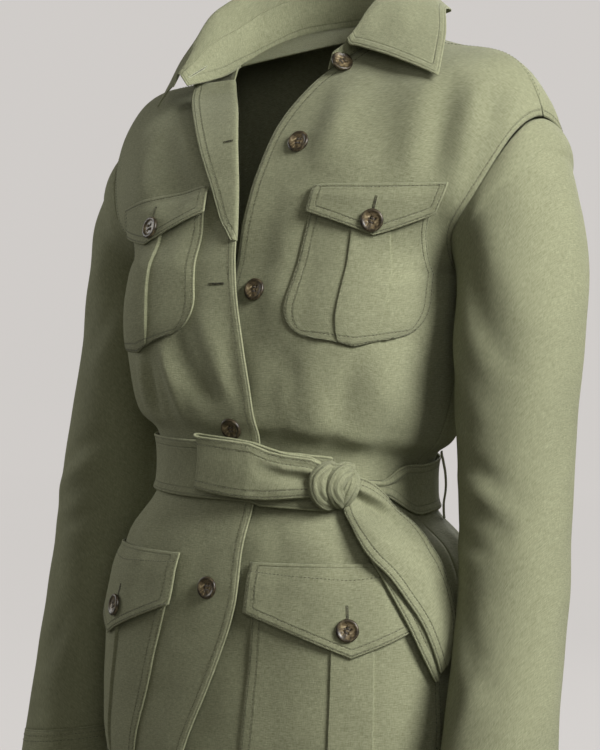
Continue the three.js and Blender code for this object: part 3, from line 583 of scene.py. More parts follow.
class Panel:
    """Surface of one body panel, by share of its width and place in its list of sections."""

    def __init__(self, sections, stations, facing, turn):
        self.stations = stations
        self.facing = facing
        self.turn = turn
        self.last = len(sections) - 1
        self.arm_start = next(i for i, row in enumerate(sections) if row.get("arm") is not None)
        self.edges = np.array([row["edge"] for row in sections], float)
        self.arms = np.array([row["arm"] for row in sections[self.arm_start :]], float)
        sides = [row["side"] for row in sections[: self.arm_start]]
        self.sides = np.array(sides + [armhole(stations, self.arms[0])], float)
        self.rounds, self.swells, self.lifts = points_of(sections, "round", "swell", "lift").T
        corners = [i for i, row in enumerate(sections) if row.get("corner")]
        self.corner = corners[0] if corners else None

    def edge(self, place):
        if self.corner is None:
            return smooth(self.edges, place)
        low = smooth(self.edges[: self.corner + 1], np.minimum(place, self.corner))
        high = smooth(self.edges[self.corner :], np.maximum(place - self.corner, 0))
        return np.where((place <= self.corner)[..., None], low, high)

    def outer(self, place):
        low = smooth(self.sides, np.minimum(place, self.arm_start))
        arm = smooth(self.arms, np.maximum(place - self.arm_start, 0))
        high = armhole(self.stations, arm)
        return np.where((place <= self.arm_start)[..., None], low, high)

    def point(self, across, place):
        across, place = np.broadcast_arrays(np.asarray(across, float), np.asarray(place, float))
        a = self.edge(place)
        b = self.outer(place)
        inside = np.clip(across, 0, 1)
        follow = np.clip(smooth(self.rounds, place), 0, 1)
        half = b[..., 0] - MIDDLE_X
        lap = (a[..., 0] - MIDDLE_X) / half
        first = np.arcsin(np.sign(lap) * np.abs(lap) ** (1 / SQUARENESS))
        angle = mix(first, np.pi / 2, inside)
        wide = np.sign(angle) * np.abs(np.sin(angle)) ** SQUARENESS
        deep = (np.maximum(np.cos(angle), 0) / np.cos(first)) ** SQUARENESS
        sideways = mix(across, (wide - lap) / (1 - lap), follow)
        inward = mix(across, 1 - deep, follow)
        swell = smooth(self.swells, place) * hump(inside) ** 1.5
        arch = np.maximum(hump(inside**LIFT_OUTWARD), 0) ** LIFT_FULLNESS
        return np.stack(
            [
                mix(a[..., 0], b[..., 0], sideways),
                mix(a[..., 1], b[..., 1], inward) + self.facing * swell,
                mix(a[..., 2], b[..., 2], across) + smooth(self.lifts, place) * arch,
            ],
            axis=-1,
        )

    def normal(self, across, place):
        step = 0.01
        a = np.clip(across, step, 1 - step)
        p = np.clip(place, step, self.last - step)
        a, p = np.broadcast_arrays(a, p)
        du = self.point(a + step, p) - self.point(a - step, p)
        dv = self.point(a, p + step) - self.point(a, p - step)
        return unit(np.cross(du, dv)) * self.turn

    def place_at(self, across, z):
        """Place in the sections at which the panel reaches a height."""
        across, z = np.broadcast_arrays(np.asarray(across, float), np.asarray(z, float))
        low = np.zeros(z.shape)
        high = np.full(z.shape, float(self.last))
        for _ in range(28):
            middle = (low + high) / 2
            below = self.point(across, middle)[..., 2] < z
            low = np.where(below, middle, low)
            high = np.where(below, high, middle)
        return (low + high) / 2


def back_sections(front, neck):
    low = [
        {
            "side": front[i].get("side"),
            "round": 1,
            "swell": 0,
            "lift": 0,
            **row,
            "edge": (0, row["y"], row["z"]),
        }
        for i, row in enumerate(BACK_LINE)
    ]
    return low + neck


PANELS = {
    "left": Panel(FRONT_LEFT, ARMHOLE_LEFT, -1, 1),
    "right": Panel(FRONT_RIGHT, ARMHOLE_RIGHT, -1, -1),
    "back_left": Panel(back_sections(FRONT_LEFT, BACK_NECK_LEFT), ARMHOLE_LEFT, 1, -1),
    "back_right": Panel(back_sections(FRONT_RIGHT, BACK_NECK_RIGHT), ARMHOLE_RIGHT, 1, 1),
}


def lap_under(name, across, place):
    """How far the left front lies under the right one."""
    if name != "left":
        return np.zeros(np.broadcast(across, place).shape)
    covered = np.clip((14 - place) / 2, 0, 1)
    return FRONT_LAP * covered * np.clip(1 - (across - 0.3) / 0.35, 0, 1)


def tuck_height(across, place, width):
    """Tucks above and below the belt, fading away from it."""
    above = np.maximum(place - 7.2, 0) * 24
    below = np.maximum(4.8 - place, 0) * 45
    total = np.zeros(np.broadcast(across, place).shape)
    for tuck in TUCKS:
        off = (across - tuck["across"]) * width / tuck["wide"]
        fade = np.where(place > 6, np.exp(-above / tuck["up"]), np.exp(-below / tuck["down"]))
        total += tuck["deep"] * np.exp(-(off**2)) * fade
    clear = np.clip(np.maximum(place - 7.2, 4.8 - place) / 0.6, 0, 1)
    return total * clear


def relief(name, across, place, base):
    """How far the folds, tucks and puckers of a panel move its surface out."""
    panel = PANELS[name]
    x, z = base[..., 0], base[..., 2]
    belted = np.clip((np.abs(place - 6) - 1.2) / 1.2, 0, 1)
    rise = fold_height(FOLDS[name], x, z) + 0.55 * ripple(x + base[..., 1], z, panel.facing + 5)
    edge_calm = np.clip(across * 9, 0.35, 1) if not name.startswith("back") else 1
    seam_calm = np.clip((1 - across) * 12, 0.15, 1)
    neck_calm = np.clip((panel.last - place) / 1.4, 0.1, 1)
    joined = np.clip(across * 12, 0, 1) if name.startswith("back") else 1
    return rise * belted * edge_calm * seam_calm * neck_calm * joined + tuck_height(
        across, place, 170
    ) * joined * seam_calm


def on_panel(name, across, place, off=0):
    """Points of a panel's outer face, moved out by a distance."""
    panel = PANELS[name]
    across, place = np.broadcast_arrays(np.asarray(across, float), np.asarray(place, float))
    base = panel.point(across, place)
    out = off - lap_under(name, across, place) + relief(name, across, place, base)
    return base + panel.normal(across, place) * np.asarray(out)[..., None]


def over_panel(name, across, place, off):
    """The same without the step down where the left front laps under."""
    return on_panel(name, across, place, off + lap_under(name, across, place))


# Meshes

def grid_normals(grid, turned, closed=False):
    if closed:
        body = grid[:, :-1]
        wrapped = np.concatenate([body[:, -1:], body, body[:, :1]], axis=1)
        du = wrapped[:, 2:] - wrapped[:, :-2]
        du = np.concatenate([du, du[:, :1]], axis=1)
    else:
        du = np.gradient(grid, axis=1)
    dv = np.gradient(grid, axis=0)
    return unit(np.cross(du, dv)) * (-1 if turned else 1)


def flat_lengths(grid):
    """Distances along both directions of a grid, as the cloth's own flat coordinates."""
    across = np.linalg.norm(np.diff(grid, axis=1), axis=-1)
    up = np.linalg.norm(np.diff(grid, axis=0), axis=-1)
    u = np.concatenate([np.zeros((grid.shape[0], 1)), np.cumsum(across, axis=1)], axis=1)
    v = np.concatenate([np.zeros((1, grid.shape[1])), np.cumsum(up, axis=0)], axis=0)
    return u, v


def rim_loop(rows, columns):
    """Grid indices round the border, each with its neighbour inside."""
    last_row, last_column = rows - 1, columns - 1
    loop = [((0, j), (1, j)) for j in range(columns)]
    loop += [((i, last_column), (i, last_column - 1)) for i in range(1, rows)]
    loop += [((last_row, j), (last_row - 1, j)) for j in range(last_column - 1, -1, -1)]
    loop += [((i, 0), (i, 1)) for i in range(last_row - 1, 0, -1)]
    return loop


def shell_mesh(name, outer, turned, wall=WALL, closed=False, seam=None, normals=None):
    """A wall of cloth behind a grid of points, with a rounded rim and flat coordinates."""
    rows, columns = outer.shape[:2]
    if normals is None:
        normals = grid_normals(outer, turned, closed)
    inner = outer - normals * wall
    count = rows * columns
    loop = rim_loop(rows, columns)
    at = np.array([i * columns + j for (i, j), _ in loop])
    inside = np.array([i * columns + j for _, (i, j) in loop])
    flat_outer = outer.reshape(-1, 3)
    flat_inner = inner.reshape(-1, 3)
    away = unit(flat_outer[at] - flat_outer[inside])
    middle = (flat_outer[at] + flat_inner[at]) / 2 + away * wall * RIM_ROUND
    points = np.concatenate([flat_outer, flat_inner, middle]) * MM
    i, j = np.meshgrid(np.arange(rows - 1), np.arange(columns - 1), indexing="ij")
    a = (i * columns + j).ravel()
    quads = np.stack([a, a + 1, a + columns + 1, a + columns], axis=1)
    following = np.roll(np.arange(len(at)), -1)
    rim = np.arange(len(at)) + 2 * count
    front = np.stack([at, rim, rim[following], at[following]], axis=1)
    behind = np.stack([rim, at + count, at[following] + count, rim[following]], axis=1)
    faces = np.concatenate([quads, quads[:, ::-1] + count, front, behind])
    if turned:
        faces = faces[:, ::-1]
    u, v = flat_lengths(outer)
    flat = np.stack([u.ravel(), v.ravel()], axis=1)
    flat = np.concatenate([flat, flat, flat[at]]) * MM
    if seam is None:
        seam = np.full((rows, columns), 60.0)
    depth = np.concatenate([seam.ravel(), seam.ravel(), np.zeros(len(at))])
    mesh = bpy.data.meshes.new(name)
    mesh.from_pydata(points.tolist(), [], faces.tolist())
    layer = mesh.uv_layers.new(name="cloth")
    corners = np.zeros(len(mesh.loops), dtype=int)
    mesh.loops.foreach_get("vertex_index", corners)
    layer.data.foreach_set("uv", flat[corners].ravel())
    distance = mesh.attributes.new("seam", "FLOAT", "POINT")
    distance.data.foreach_set("value", depth)
    return mesh


def add_object(mesh, node, material, name=None):
    """Puts a mesh in the scene in place of a CAD node."""
    piece = bpy.data.objects.new(name or "made_" + node, mesh)
    bpy.context.scene.collection.objects.link(piece)
    mesh.polygons.foreach_set("use_smooth", [True] * len(mesh.polygons))
    mesh.update()
    mesh.materials.clear()
    mesh.materials.append(material)
    if node:
        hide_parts(node)
    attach(piece, "root")
    return piece


def add_cloth(node, outer, turned, held="gathered", rests=(), **facts):
    """A cloth piece from its grid of outer points, whose flat cut is also worked out."""
    mesh = shell_mesh("made_" + node, outer, turned, **facts)
    piece = add_object(mesh, node, MATERIALS["linen"])
    declare_cut(outer)
    return piece


def declare_cut(outer):
    """Works out the flat cut of a cloth piece, its bounding width and length and its area, and keeps
    none of it.
    """
    u, v = flat_lengths(outer)
    a, b = outer[:-1, :-1], outer[1:, 1:]
    c, d = outer[:-1, 1:], outer[1:, :-1]
    area = 0.5 * np.linalg.norm(np.cross(b - a, c - d), axis=-1).sum()
    wide, long = u[:, -1].max(), v[-1].max()
    area = min(area, wide * long)


# Materials

def new_material(name, roughness, specular):
    material = bpy.data.materials.new(name)
    material.use_nodes = True
    surface = material.node_tree.nodes["Principled BSDF"]
    surface.inputs["Roughness"].default_value = roughness
    surface.inputs["Specular IOR Level"].default_value = specular
    return material, material.node_tree, surface


def add_node(tree, kind, inputs=(), **settings):
    """A node with its settings and inputs, where an input may be another node's output."""
    made = tree.nodes.new(kind)
    for name, value in settings.items():
        setattr(made, name, value)
    for key, value in dict(inputs).items():
        if isinstance(value, bpy.types.NodeSocket):
            tree.links.new(value, made.inputs[key])
        else:
            made.inputs[key].default_value = value
    return made


def calculate(tree, operation, a, b=0.0):
    return add_node(tree, "ShaderNodeMath", {0: a, 1: b}, operation=operation).outputs[0]


def groove(tree, distance, centre, width):
    """1 along a line at a distance from the edge, falling to 0 beside it."""
    off = calculate(tree, "SUBTRACT", distance, centre)
    share = calculate(tree, "DIVIDE", calculate(tree, "ABSOLUTE", off), width)
    return calculate(tree, "MAXIMUM", calculate(tree, "SUBTRACT", 1.0, share), 0.0)


def streaks(tree, flat, across, along, detail):
    """Noise drawn out along one direction of the cloth, like uneven yarn."""
    stretched = add_node(tree, "ShaderNodeMapping", {"Vector": flat, "Scale": (across, along, 1)})
    made = add_node(
        tree,
        "ShaderNodeTexNoise",
        {"Vector": stretched.outputs[0], "Scale": 1.0, "Detail": detail, "Roughness": 0.55},
    )
    return made.outputs["Fac"]


# Linen: shades of the yarn, its pitch, the shares of weft, warp and slubs in its unevenness,
# how much painted shade darkens the sewn grooves and painted highlight lightens the edges, and the
# heights of its relief
LINEN_DARK = (0.203, 0.211, 0.121, 1)
LINEN_MIDDLE = (0.276, 0.287, 0.176, 1)
LINEN_LIGHT = (0.352, 0.365, 0.236, 1)
THREAD_PITCH = 0.85
WEFT_SHARE = 0.5
WARP_SHARE = 0.36
SLUB_SHARE = 0.14
SEWN_GROOVE_PAINTED_SHADE = 0.20
SEWN_DEPTH = 2.2
EDGE_PAINTED_HIGHLIGHT = 0.04
PUCKER_DEPTH = 2.6
RUMPLE_DEPTH = 9.0


def linen_material():
    """Plain-weave linen: yarn by yarn relief, slubs, uneven dye, sewn grooves darkened with painted
    shade and edges lightened with a painted highlight.
    """
    material, tree, surface = new_material("linen", 0.82, 0.28)
    surface.inputs["Sheen Weight"].default_value = 0.10
    surface.inputs["Sheen Roughness"].default_value = 0.45
    surface.inputs["Sheen Tint"].default_value = (0.93, 0.95, 0.86, 1)
    flat = add_node(tree, "ShaderNodeUVMap", uv_map="cloth").outputs[0]
    split = add_node(tree, "ShaderNodeSeparateXYZ", {0: flat})
    sines = [
        calculate(
            tree,
            "SINE",
            calculate(tree, "MULTIPLY", split.outputs[axis], 1000 * math.pi / THREAD_PITCH),
        )
        for axis in (0, 1)
    ]
    weave = calculate(tree, "ABSOLUTE", calculate(tree, "MULTIPLY", *sines))
    weft = streaks(tree, flat, 210, 1300, 2)
    warp = streaks(tree, flat, 1300, 190, 2)
    slub = streaks(tree, flat, 45, 820, 1)
    yarn = calculate(tree, "MULTIPLY", weft, WEFT_SHARE)
    yarn = calculate(tree, "ADD", yarn, calculate(tree, "MULTIPLY", warp, WARP_SHARE))
    yarn = calculate(tree, "ADD", yarn, calculate(tree, "MULTIPLY", slub, SLUB_SHARE))
    ramp = add_node(tree, "ShaderNodeValToRGB", {0: yarn})
    ramp.color_ramp.elements[0].position = 0.40
    ramp.color_ramp.elements[0].color = LINEN_DARK
    ramp.color_ramp.elements[1].position = 0.70
    ramp.color_ramp.elements[1].color = LINEN_LIGHT
    ramp.color_ramp.elements.new(0.545).color = LINEN_MIDDLE
    cloudy = streaks(tree, flat, 11, 9, 4)
    clouds = add_node(
        tree,
        "ShaderNodeMapRange",
        {"Value": cloudy, "From Min": 0.3, "From Max": 0.7, "To Min": 0.92, "To Max": 1.07},
    ).outputs[0]
    distance = add_node(tree, "ShaderNodeAttribute", attribute_name="seam").outputs["Fac"]
    # The sewn rows are sunk in the relief and also darkened in the colour: painted shade in their
    # grooves.
    sewn = calculate(
        tree, "MAXIMUM", groove(tree, distance, ROW_NEAR, 1.1), groove(tree, distance, ROW_FAR, 1.1)
    )
    # Lighter along the cut edges and rims: a painted highlight where the edges catch the light.
    edge = groove(tree, distance, 0.0, 0.7)
    shade = calculate(tree, "SUBTRACT", clouds, calculate(tree, "MULTIPLY", sewn, SEWN_GROOVE_PAINTED_SHADE))
    shade = calculate(tree, "ADD", shade, calculate(tree, "MULTIPLY", edge, EDGE_PAINTED_HIGHLIGHT))
    scaled = add_node(
        tree, "ShaderNodeVectorMath", {0: ramp.outputs[0], "Scale": shade}, operation="SCALE"
    )
    tree.links.new(scaled.outputs[0], surface.inputs["Base Color"])
    pucker_noise = streaks(tree, flat, 150, 150, 1)
    hem = groove(tree, distance, 3.5, 8.0)
    pucker = calculate(tree, "MULTIPLY", pucker_noise, hem)
    pucker = calculate(tree, "MULTIPLY", pucker, PUCKER_DEPTH)
    relief_height = calculate(tree, "ADD", weave, calculate(tree, "MULTIPLY", yarn, 2.4))
    relief_height = calculate(tree, "ADD", relief_height, pucker)
    rumple = streaks(tree, flat, 24, 19, 3)
    rumpled = calculate(tree, "MULTIPLY", rumple, RUMPLE_DEPTH)
    relief_height = calculate(tree, "ADD", relief_height, rumpled)
    sunk = calculate(tree, "MULTIPLY", sewn, SEWN_DEPTH)
    relief_height = calculate(tree, "SUBTRACT", relief_height, sunk)
    bump = add_node(
        tree, "ShaderNodeBump", {"Height": relief_height, "Strength": 0.9, "Distance": 0.00026}
    )
    tree.links.new(bump.outputs[0], surface.inputs["Normal"])
    return material


def horn_material():
    """Mottled horn, dark brown with amber, polished."""
    material, tree, surface = new_material("button", 0.38, 0.4)
    surface.inputs["Coat Weight"].default_value = 0.12
    surface.inputs["Coat Roughness"].default_value = 0.3
    place = add_node(tree, "ShaderNodeTexCoord").outputs["Object"]
    mottle = add_node(
        tree,
        "ShaderNodeTexNoise",
        {"Vector": place, "Scale": 115.0, "Detail": 5.0, "Roughness": 0.6, "Distortion": 1.6},
    )
    ramp = add_node(tree, "ShaderNodeValToRGB", {0: mottle.outputs["Fac"]})
    ramp.color_ramp.elements[0].position = 0.38
    ramp.color_ramp.elements[0].color = (0.016, 0.012, 0.006, 1)
    ramp.color_ramp.elements[1].position = 0.72
    ramp.color_ramp.elements[1].color = (0.42, 0.35, 0.20, 1)
    ramp.color_ramp.elements.new(0.54).color = (0.11, 0.082, 0.043, 1)
    split = add_node(tree, "ShaderNodeSeparateXYZ", {0: place})
    squares = [calculate(tree, "MULTIPLY", split.outputs[k], split.outputs[k]) for k in (0, 1)]
    radius = calculate(tree, "SQRT", calculate(tree, "ADD", *squares))
    rim = add_node(
        tree,
        "ShaderNodeMapRange",
        {"Value": radius, "From Min": 0.0062, "From Max": 0.0082, "To Min": 1.25, "To Max": 0.45},
    ).outputs[0]
    shaded = add_node(
        tree, "ShaderNodeVectorMath", {0: ramp.outputs[0], "Scale": rim}, operation="SCALE"
    )
    tree.links.new(shaded.outputs[0], surface.inputs["Base Color"])
    grain = add_node(tree, "ShaderNodeTexNoise", {"Vector": place, "Scale": 900.0, "Detail": 2.0})
    bump = add_node(
        tree,
        "ShaderNodeBump",
        {"Height": grain.outputs["Fac"], "Strength": 0.12, "Distance": 0.0001},
    )
    tree.links.new(bump.outputs[0], surface.inputs["Normal"])
    return material


def thread_material(name, dark, light):
    """Twisted sewing thread between two shades."""
    material, tree, surface = new_material(name, 0.6, 0.35)
    surface.inputs["Sheen Weight"].default_value = 0.2
    place = add_node(tree, "ShaderNodeTexCoord").outputs["Object"]
    twist = add_node(tree, "ShaderNodeTexNoise", {"Vector": place, "Scale": 420.0, "Detail": 2.0})
    ramp = add_node(tree, "ShaderNodeValToRGB", {0: twist.outputs["Fac"]})
    ramp.color_ramp.elements[0].position = 0.35
    ramp.color_ramp.elements[0].color = dark
    ramp.color_ramp.elements[1].position = 0.65
    ramp.color_ramp.elements[1].color = light
    tree.links.new(ramp.outputs[0], surface.inputs["Base Color"])
    return material


MATERIALS = {
    "linen": linen_material(),
    "horn": horn_material(),
    "thread": thread_material("thread", (0.055, 0.055, 0.026, 1), (0.15, 0.152, 0.082, 1)),
    "pale_thread": thread_material("pale_thread", (0.30, 0.32, 0.20, 1), (0.46, 0.47, 0.33, 1)),
    "button_thread": thread_material(
        "button_thread", (0.05, 0.04, 0.028, 1), (0.12, 0.10, 0.07, 1)
    ),
    # "hole": a near-black strip laid in a buttonhole's slit, painted shade of the opening
    "hole": thread_material("hole", (0.006, 0.005, 0.004, 1), (0.02, 0.016, 0.012, 1)),
}


# Sewing

def along_path(points, normals, pitch):
    """Evenly spaced points along a path, each with its direction and normal."""
    steps = np.linalg.norm(np.diff(points, axis=0), axis=1)
    distance = np.concatenate([[0], np.cumsum(steps)])
    count = max(int(distance[-1] / pitch), 1)
    at = (np.arange(count) + 0.5) * pitch

    def sample(values):
        return np.stack([np.interp(at, distance, values[:, k]) for k in range(3)], axis=1)

    ahead = np.gradient(points, axis=0)
    return sample(points), unit(sample(ahead)), unit(sample(normals))


def stitch_shape(length, width, height):
    """A short thread, sunk at its ends: two tips and two rings of four."""
    half, shoulder = length / 2, length / 3.6
    ring = [(0, width / 2, 0), (0, 0, height), (0, -width / 2, 0), (0, 0, -height)]
    points = [(-half, 0, -height)]
    points += [(-shoulder, y, z) for _, y, z in ring]
    points += [(shoulder, y, z) for _, y, z in ring]
    points += [(half, 0, -height)]
    faces = []
    for k in range(4):
        n = (k + 1) % 4
        faces.append((0, 1 + n, 1 + k))
        faces.append((9, 5 + k, 5 + n))
        faces.append((1 + k, 1 + n, 5 + n))
        faces.append((1 + k, 5 + n, 5 + k))
    return np.array(points), np.array(faces)


def stitched(paths, length=STITCH_LENGTH, gap=STITCH_GAP, width=STITCH_WIDTH, turned=False):
    """Points and faces of rows of stitches along paths of (points, normals)."""
    shape, faces = stitch_shape(length, width, STITCH_HEIGHT)
    all_points, all_faces, count = [], [], 0
    for points, normals in paths:
        centre, ahead, up = along_path(points, normals, length + gap)
        side = unit(np.cross(up, ahead))
        if turned:
            ahead, side = side, -ahead
        made = (
            centre[:, None]
            + shape[None, :, :1] * ahead[:, None]
            + shape[None, :, 1:2] * side[:, None]
            + shape[None, :, 2:] * up[:, None]
        )
        shift = np.arange(len(centre))[:, None, None] * len(shape) + count
        all_points.append(made.reshape(-1, 3))
        all_faces.append((faces[None] + shift).reshape(-1, 3))
        count += made.shape[0] * made.shape[1]
    return np.concatenate(all_points), np.concatenate(all_faces)


def add_stitches(name, paths, material="thread", **sizes):
    points, faces = stitched(paths, **sizes)
    mesh = bpy.data.meshes.new(name)
    mesh.from_pydata((points * MM).tolist(), [], faces.tolist())
    return add_object(mesh, None, MATERIALS[material], name)


def panel_path(name, across, place, off=STITCH_LIFT):
    """A path over a panel, with its normals."""
    points = on_panel(name, across, place, off)
    return points, PANELS[name].normal(across, place)


def grid_path(surface, u, v, normal_turn, lift=STITCH_LIFT):
    """A path over a surface given by u and v, raised a little off it."""
    points = surface(u, v)
    step = 0.004
    du = surface(np.clip(u + step, 0, 1), v) - surface(np.clip(u - step, 0, 1), v)
    dv = surface(u, np.clip(v + step, 0, 1)) - surface(u, np.clip(v - step, 0, 1))
    normals = unit(np.cross(du, dv)) * normal_turn
    return points + normals * lift, normals


# Body pieces

def front_rows(name):
    return np.linspace(0, PANELS[name].last, FRONT_GRID[0] + 1)


def panel_grid(name, columns, shoulder):
    """Outer points of a panel, held back from its side and shoulder seams."""
    panel = PANELS[name]
    place = front_rows(name)[:, None]
    width = np.linalg.norm(panel.point(1, place) - panel.point(0, place), axis=-1)
    stop = 1 - SIDE_GAP / width
    share = np.linspace(0, 1, columns + 1)[None]
    across = share * stop
    points = on_panel(name, across, place)
    near_top = np.clip((place - (panel.last - 0.5)) / 0.5, 0, 1)
    points[..., 1] += shoulder * near_top * np.minimum(1, 6 * share + 0.5)
    return points, place


def panel_seams(name, points, place):
    """Distance from each point to the nearest sewn edge of a front."""
    u, _ = flat_lengths(points)
    from_side = u[:, -1:] - u
    armed = place >= PANELS[name].arm_start
    side = np.where(armed, from_side + (ROW_FAR - 5), from_side + 40)
    return np.minimum(u, side)


def make_front(name):
    points, place = panel_grid(name, FRONT_GRID[1], -SHOULDER_GAP)
    seam = panel_seams(name, points, place)
    turned = PANELS[name].turn < 0
    add_cloth("front_" + name, points, turned, seam=seam)


def make_back():
    right, place = panel_grid("back_right", FRONT_GRID[1], SHOULDER_GAP)
    left, _ = panel_grid("back_left", FRONT_GRID[1], SHOULDER_GAP)
    points = np.concatenate([right[:, ::-1], left[:, 1:]], axis=1)
    u, _ = flat_lengths(points)
    place = np.broadcast_to(place, u.shape)
    armed = place >= PANELS["back_left"].arm_start
    ends = np.minimum(u, u[:, -1:] - u)
    seam = np.where(armed, ends + (ROW_FAR - 5), 60)
    add_cloth("back", points, PANELS["back_left"].turn < 0, seam=seam)


def edge_across(name, place, distance):
    """Share of a panel's width at a distance in from its front edge."""
    panel = PANELS[name]
    step = 0.02
    ahead = np.linalg.norm(panel.point(step, place) - panel.point(0, place), axis=-1)
    return distance * step / ahead


def arm_across(name, place, distance):
    """Share of a panel's width at a distance in from its armhole or side seam."""
    panel = PANELS[name]
    step = 0.02
    ahead = np.linalg.norm(panel.point(1, place) - panel.point(1 - step, place), axis=-1)
    return 1 - distance * step / ahead


def sew_body():
    """Rows of stitches along the front edges, round the armholes and over the shoulders."""
    paths = []
    for name in ("left", "right"):
        place = np.linspace(0.02, PANELS[name].last - 0.1, 600)
        paths.append(panel_path(name, edge_across(name, place, ROW_FAR), place))
    for name, panel in PANELS.items():
        place = np.linspace(panel.arm_start + 0.05, panel.last - 0.05, 240)
        paths.append(panel_path(name, arm_across(name, place, 5), place))
    for name in ("left", "right"):
        across = np.linspace(0.04, 0.97, 120)
        top = PANELS["back_" + name].last
        paths.append(panel_path("back_" + name, across, np.full(120, top - 0.12), 0.2))
    for name, panel in PANELS.items():
        across = np.linspace(0.01, 0.99, 160)
        paths.append(panel_path(name, across, np.full(160, 0.42)))
    add_stitches("stitches_body", paths)


# Sleeves and cuffs

def ring_points(ring, share):
    angle = share * 2 * np.pi
    to_body = -1 if ring["x"] > 0 else 1
    across = to_body * ring["wide"] * np.cos(angle)
    tilt = math.radians(ring["tilt"])
    return np.stack(
        [
            ring["x"] + across * math.cos(tilt),
            ring["y"] - ring["deep"] * np.sin(angle),
            ring["z"] + across * math.sin(tilt),
        ],
        axis=-1,
    )


def sleeve_grid(stations, rings, share, place):
    """Points of a sleeve by share round it and place in its rings."""
    path = np.stack([armhole(stations, share * len(stations))] + [ring_points(r, share) for r in rings])
    return smooth(path, place)


def sleeve_relief(side, share, points):
    """Folds of a sleeve and its gentle waves, calm at the armhole and the cuff."""
    degrees = share * 360
    z = points[..., 2]
    folds = [
        {
            **fold,
            "start": (fold["start"][0] * SLEEVE_DEGREE, fold["start"][1]),
            "end": (fold["end"][0] * SLEEVE_DEGREE, fold["end"][1]),
        }
        for fold in FOLDS["sleeve_" + side]
    ]
    rise = fold_height(folds, degrees * SLEEVE_DEGREE, z)
    rise += 0.5 * ripple(np.sin(share * 2 * np.pi) * 50, z, 11 if side == "left" else 17)
    return rise


def sleeve_points(side, rows, columns):
    left = side == "left"
    stations = ARMHOLE_LEFT if left else ARMHOLE_RIGHT
    rings = SLEEVE_LEFT if left else SLEEVE_RIGHT
    near = np.linspace(0, 1, 6)[:-1] ** 1.5 * SLEEVE_START + SLEEVE_GAP
    place = np.concatenate([near, np.linspace(SLEEVE_START, len(rings), rows - 4)])[:, None]
    share = np.linspace(0, 1, columns + 1)
    points = np.stack([sleeve_grid(stations, rings, share, float(p)) for p in place[:, 0]])
    normals = grid_normals(points, left, closed=True)
    calm = np.clip(place * 3, 0, 1) * np.clip((len(rings) - place) * 1.5, 0, 1)
    over_top = np.clip(CAP_REACH - np.cos(share * 2 * np.pi), 0, 1)
    cap = CAP_FULLNESS * np.sqrt(hump(place / CAP_LENGTH)) * over_top
    rise = sleeve_relief(side, share[None], points) * calm
    return points + normals * (rise + cap)[..., None]


def seam_allowance(points, normals, share):
    """A row beyond the first one of a grid, tucked in under the piece it is sewn to."""
    ahead = unit(points[0] - points[2])
    return points[0] + (ahead * ALLOWANCE - normals[0] * ALLOWANCE_UNDER) * share


def make_sleeve(side):
    points = sleeve_points(side, *SLEEVE_GRID)
    left = side == "left"
    normals = grid_normals(points, left, closed=True)
    points = np.concatenate([seam_allowance(points, normals, 1)[None], points])
    normals = np.concatenate([normals[:1], normals])
    u, v = flat_lengths(points)
    seam = np.minimum(np.minimum(u, u[:, -1:] - u) + 30, v + 40)
    add_cloth("sleeve_" + side, points, left, seam=seam, normals=normals, held="draped")


def cuff_points(side, rows, columns):
    rings = SLEEVE_LEFT if side == "left" else SLEEVE_RIGHT
    last, before = rings[-1], rings[-2]
    lean = (last["y"] - before["y"]) / (last["z"] - before["z"])
    share = np.linspace(0, 1, columns + 1)
    made = []
    for down in np.linspace(0, 1, rows + 1):
        drop = SIDE_GAP + CUFF_GAP + down * CUFF_LENGTH
        flare = CUFF_EASE + CUFF_FLARE * down
        ring = {
            **last,
            "y": last["y"] - lean * drop,
            "z": last["z"] - drop,
            "wide": last["wide"] + flare,
            "deep": last["deep"] + flare,
        }
        made.append(ring_points(ring, share))
    points = np.stack(made)
    normals = grid_normals(points, side == "left", closed=True)
    wave = ripple(share[None] * 300, points[..., 2], 23)
    return points + normals * (0.5 * wave * np.linspace(0, 1, rows + 1)[:, None])[..., None]


def make_cuff(side):
    left = side == "left"
    points = cuff_points(side, CUFF_ROWS, SLEEVE_GRID[1])
    normals = grid_normals(points, left, closed=True)
    _, v = flat_lengths(points)
    seam = np.minimum(v + 6, v[-1:] - v)
    add_cloth("cuff_" + side, points, left, wall=CUFF_WALL, seam=seam, normals=normals, held="draped")
    rows = [2, 4, 21]
    paths = [(points[i] + normals[i] * CUFF_LIFT, normals[i]) for i in rows]
    add_stitches("stitches_cuff_" + side, paths)


# Collar

def collar_line(name, place):
    return smooth(np.array([row[name] for row in COLLAR_LINES], float), place)


def collar_strip(start, control):
    """A strip of collar from rows of control points, smoothed across."""
    last = len(COLLAR_LINES) - 1
    along = mix(start, 1, np.linspace(0, 1, COLLAR_COLUMNS + 1)) * last
    return np.stack(control(along), axis=0)


def make_stand():
    def control(along):
        low, top = collar_line("seam", along), collar_line("top", along)
        low = low + unit(top - low) * STAND_LIFT
        return [low, mix(low, top, 0.5), top]

    lines = collar_strip(0, control)
    across = np.linspace(0, 2, 13)
    points = smooth(lines, across)
    normals = grid_normals(np.moveaxis(points, 0, 1), True)
    ends = np.clip(hump(np.linspace(0, 1, points.shape[1])) * 2 - 0.4, 0.1, 1)[:, None]
    tucked = seam_allowance(points, np.moveaxis(normals, 0, 1), ends)
    points = np.moveaxis(np.concatenate([tucked[None], points]), 0, 1)
    u, v = flat_lengths(points)
    seam = np.minimum(np.minimum(np.maximum(u - ALLOWANCE, 0) + 4, v), v[-1:] - v)
    normals = np.concatenate([normals[:, :1], normals], axis=1)
    add_cloth("collar_stand", points, True, seam=seam, normals=normals, rests=("made_back",))
    add_stitches(
        "stitches_stand", [(points[:, 2] + normals[:, 2] * CUFF_LIFT, normals[:, 2])]
    )


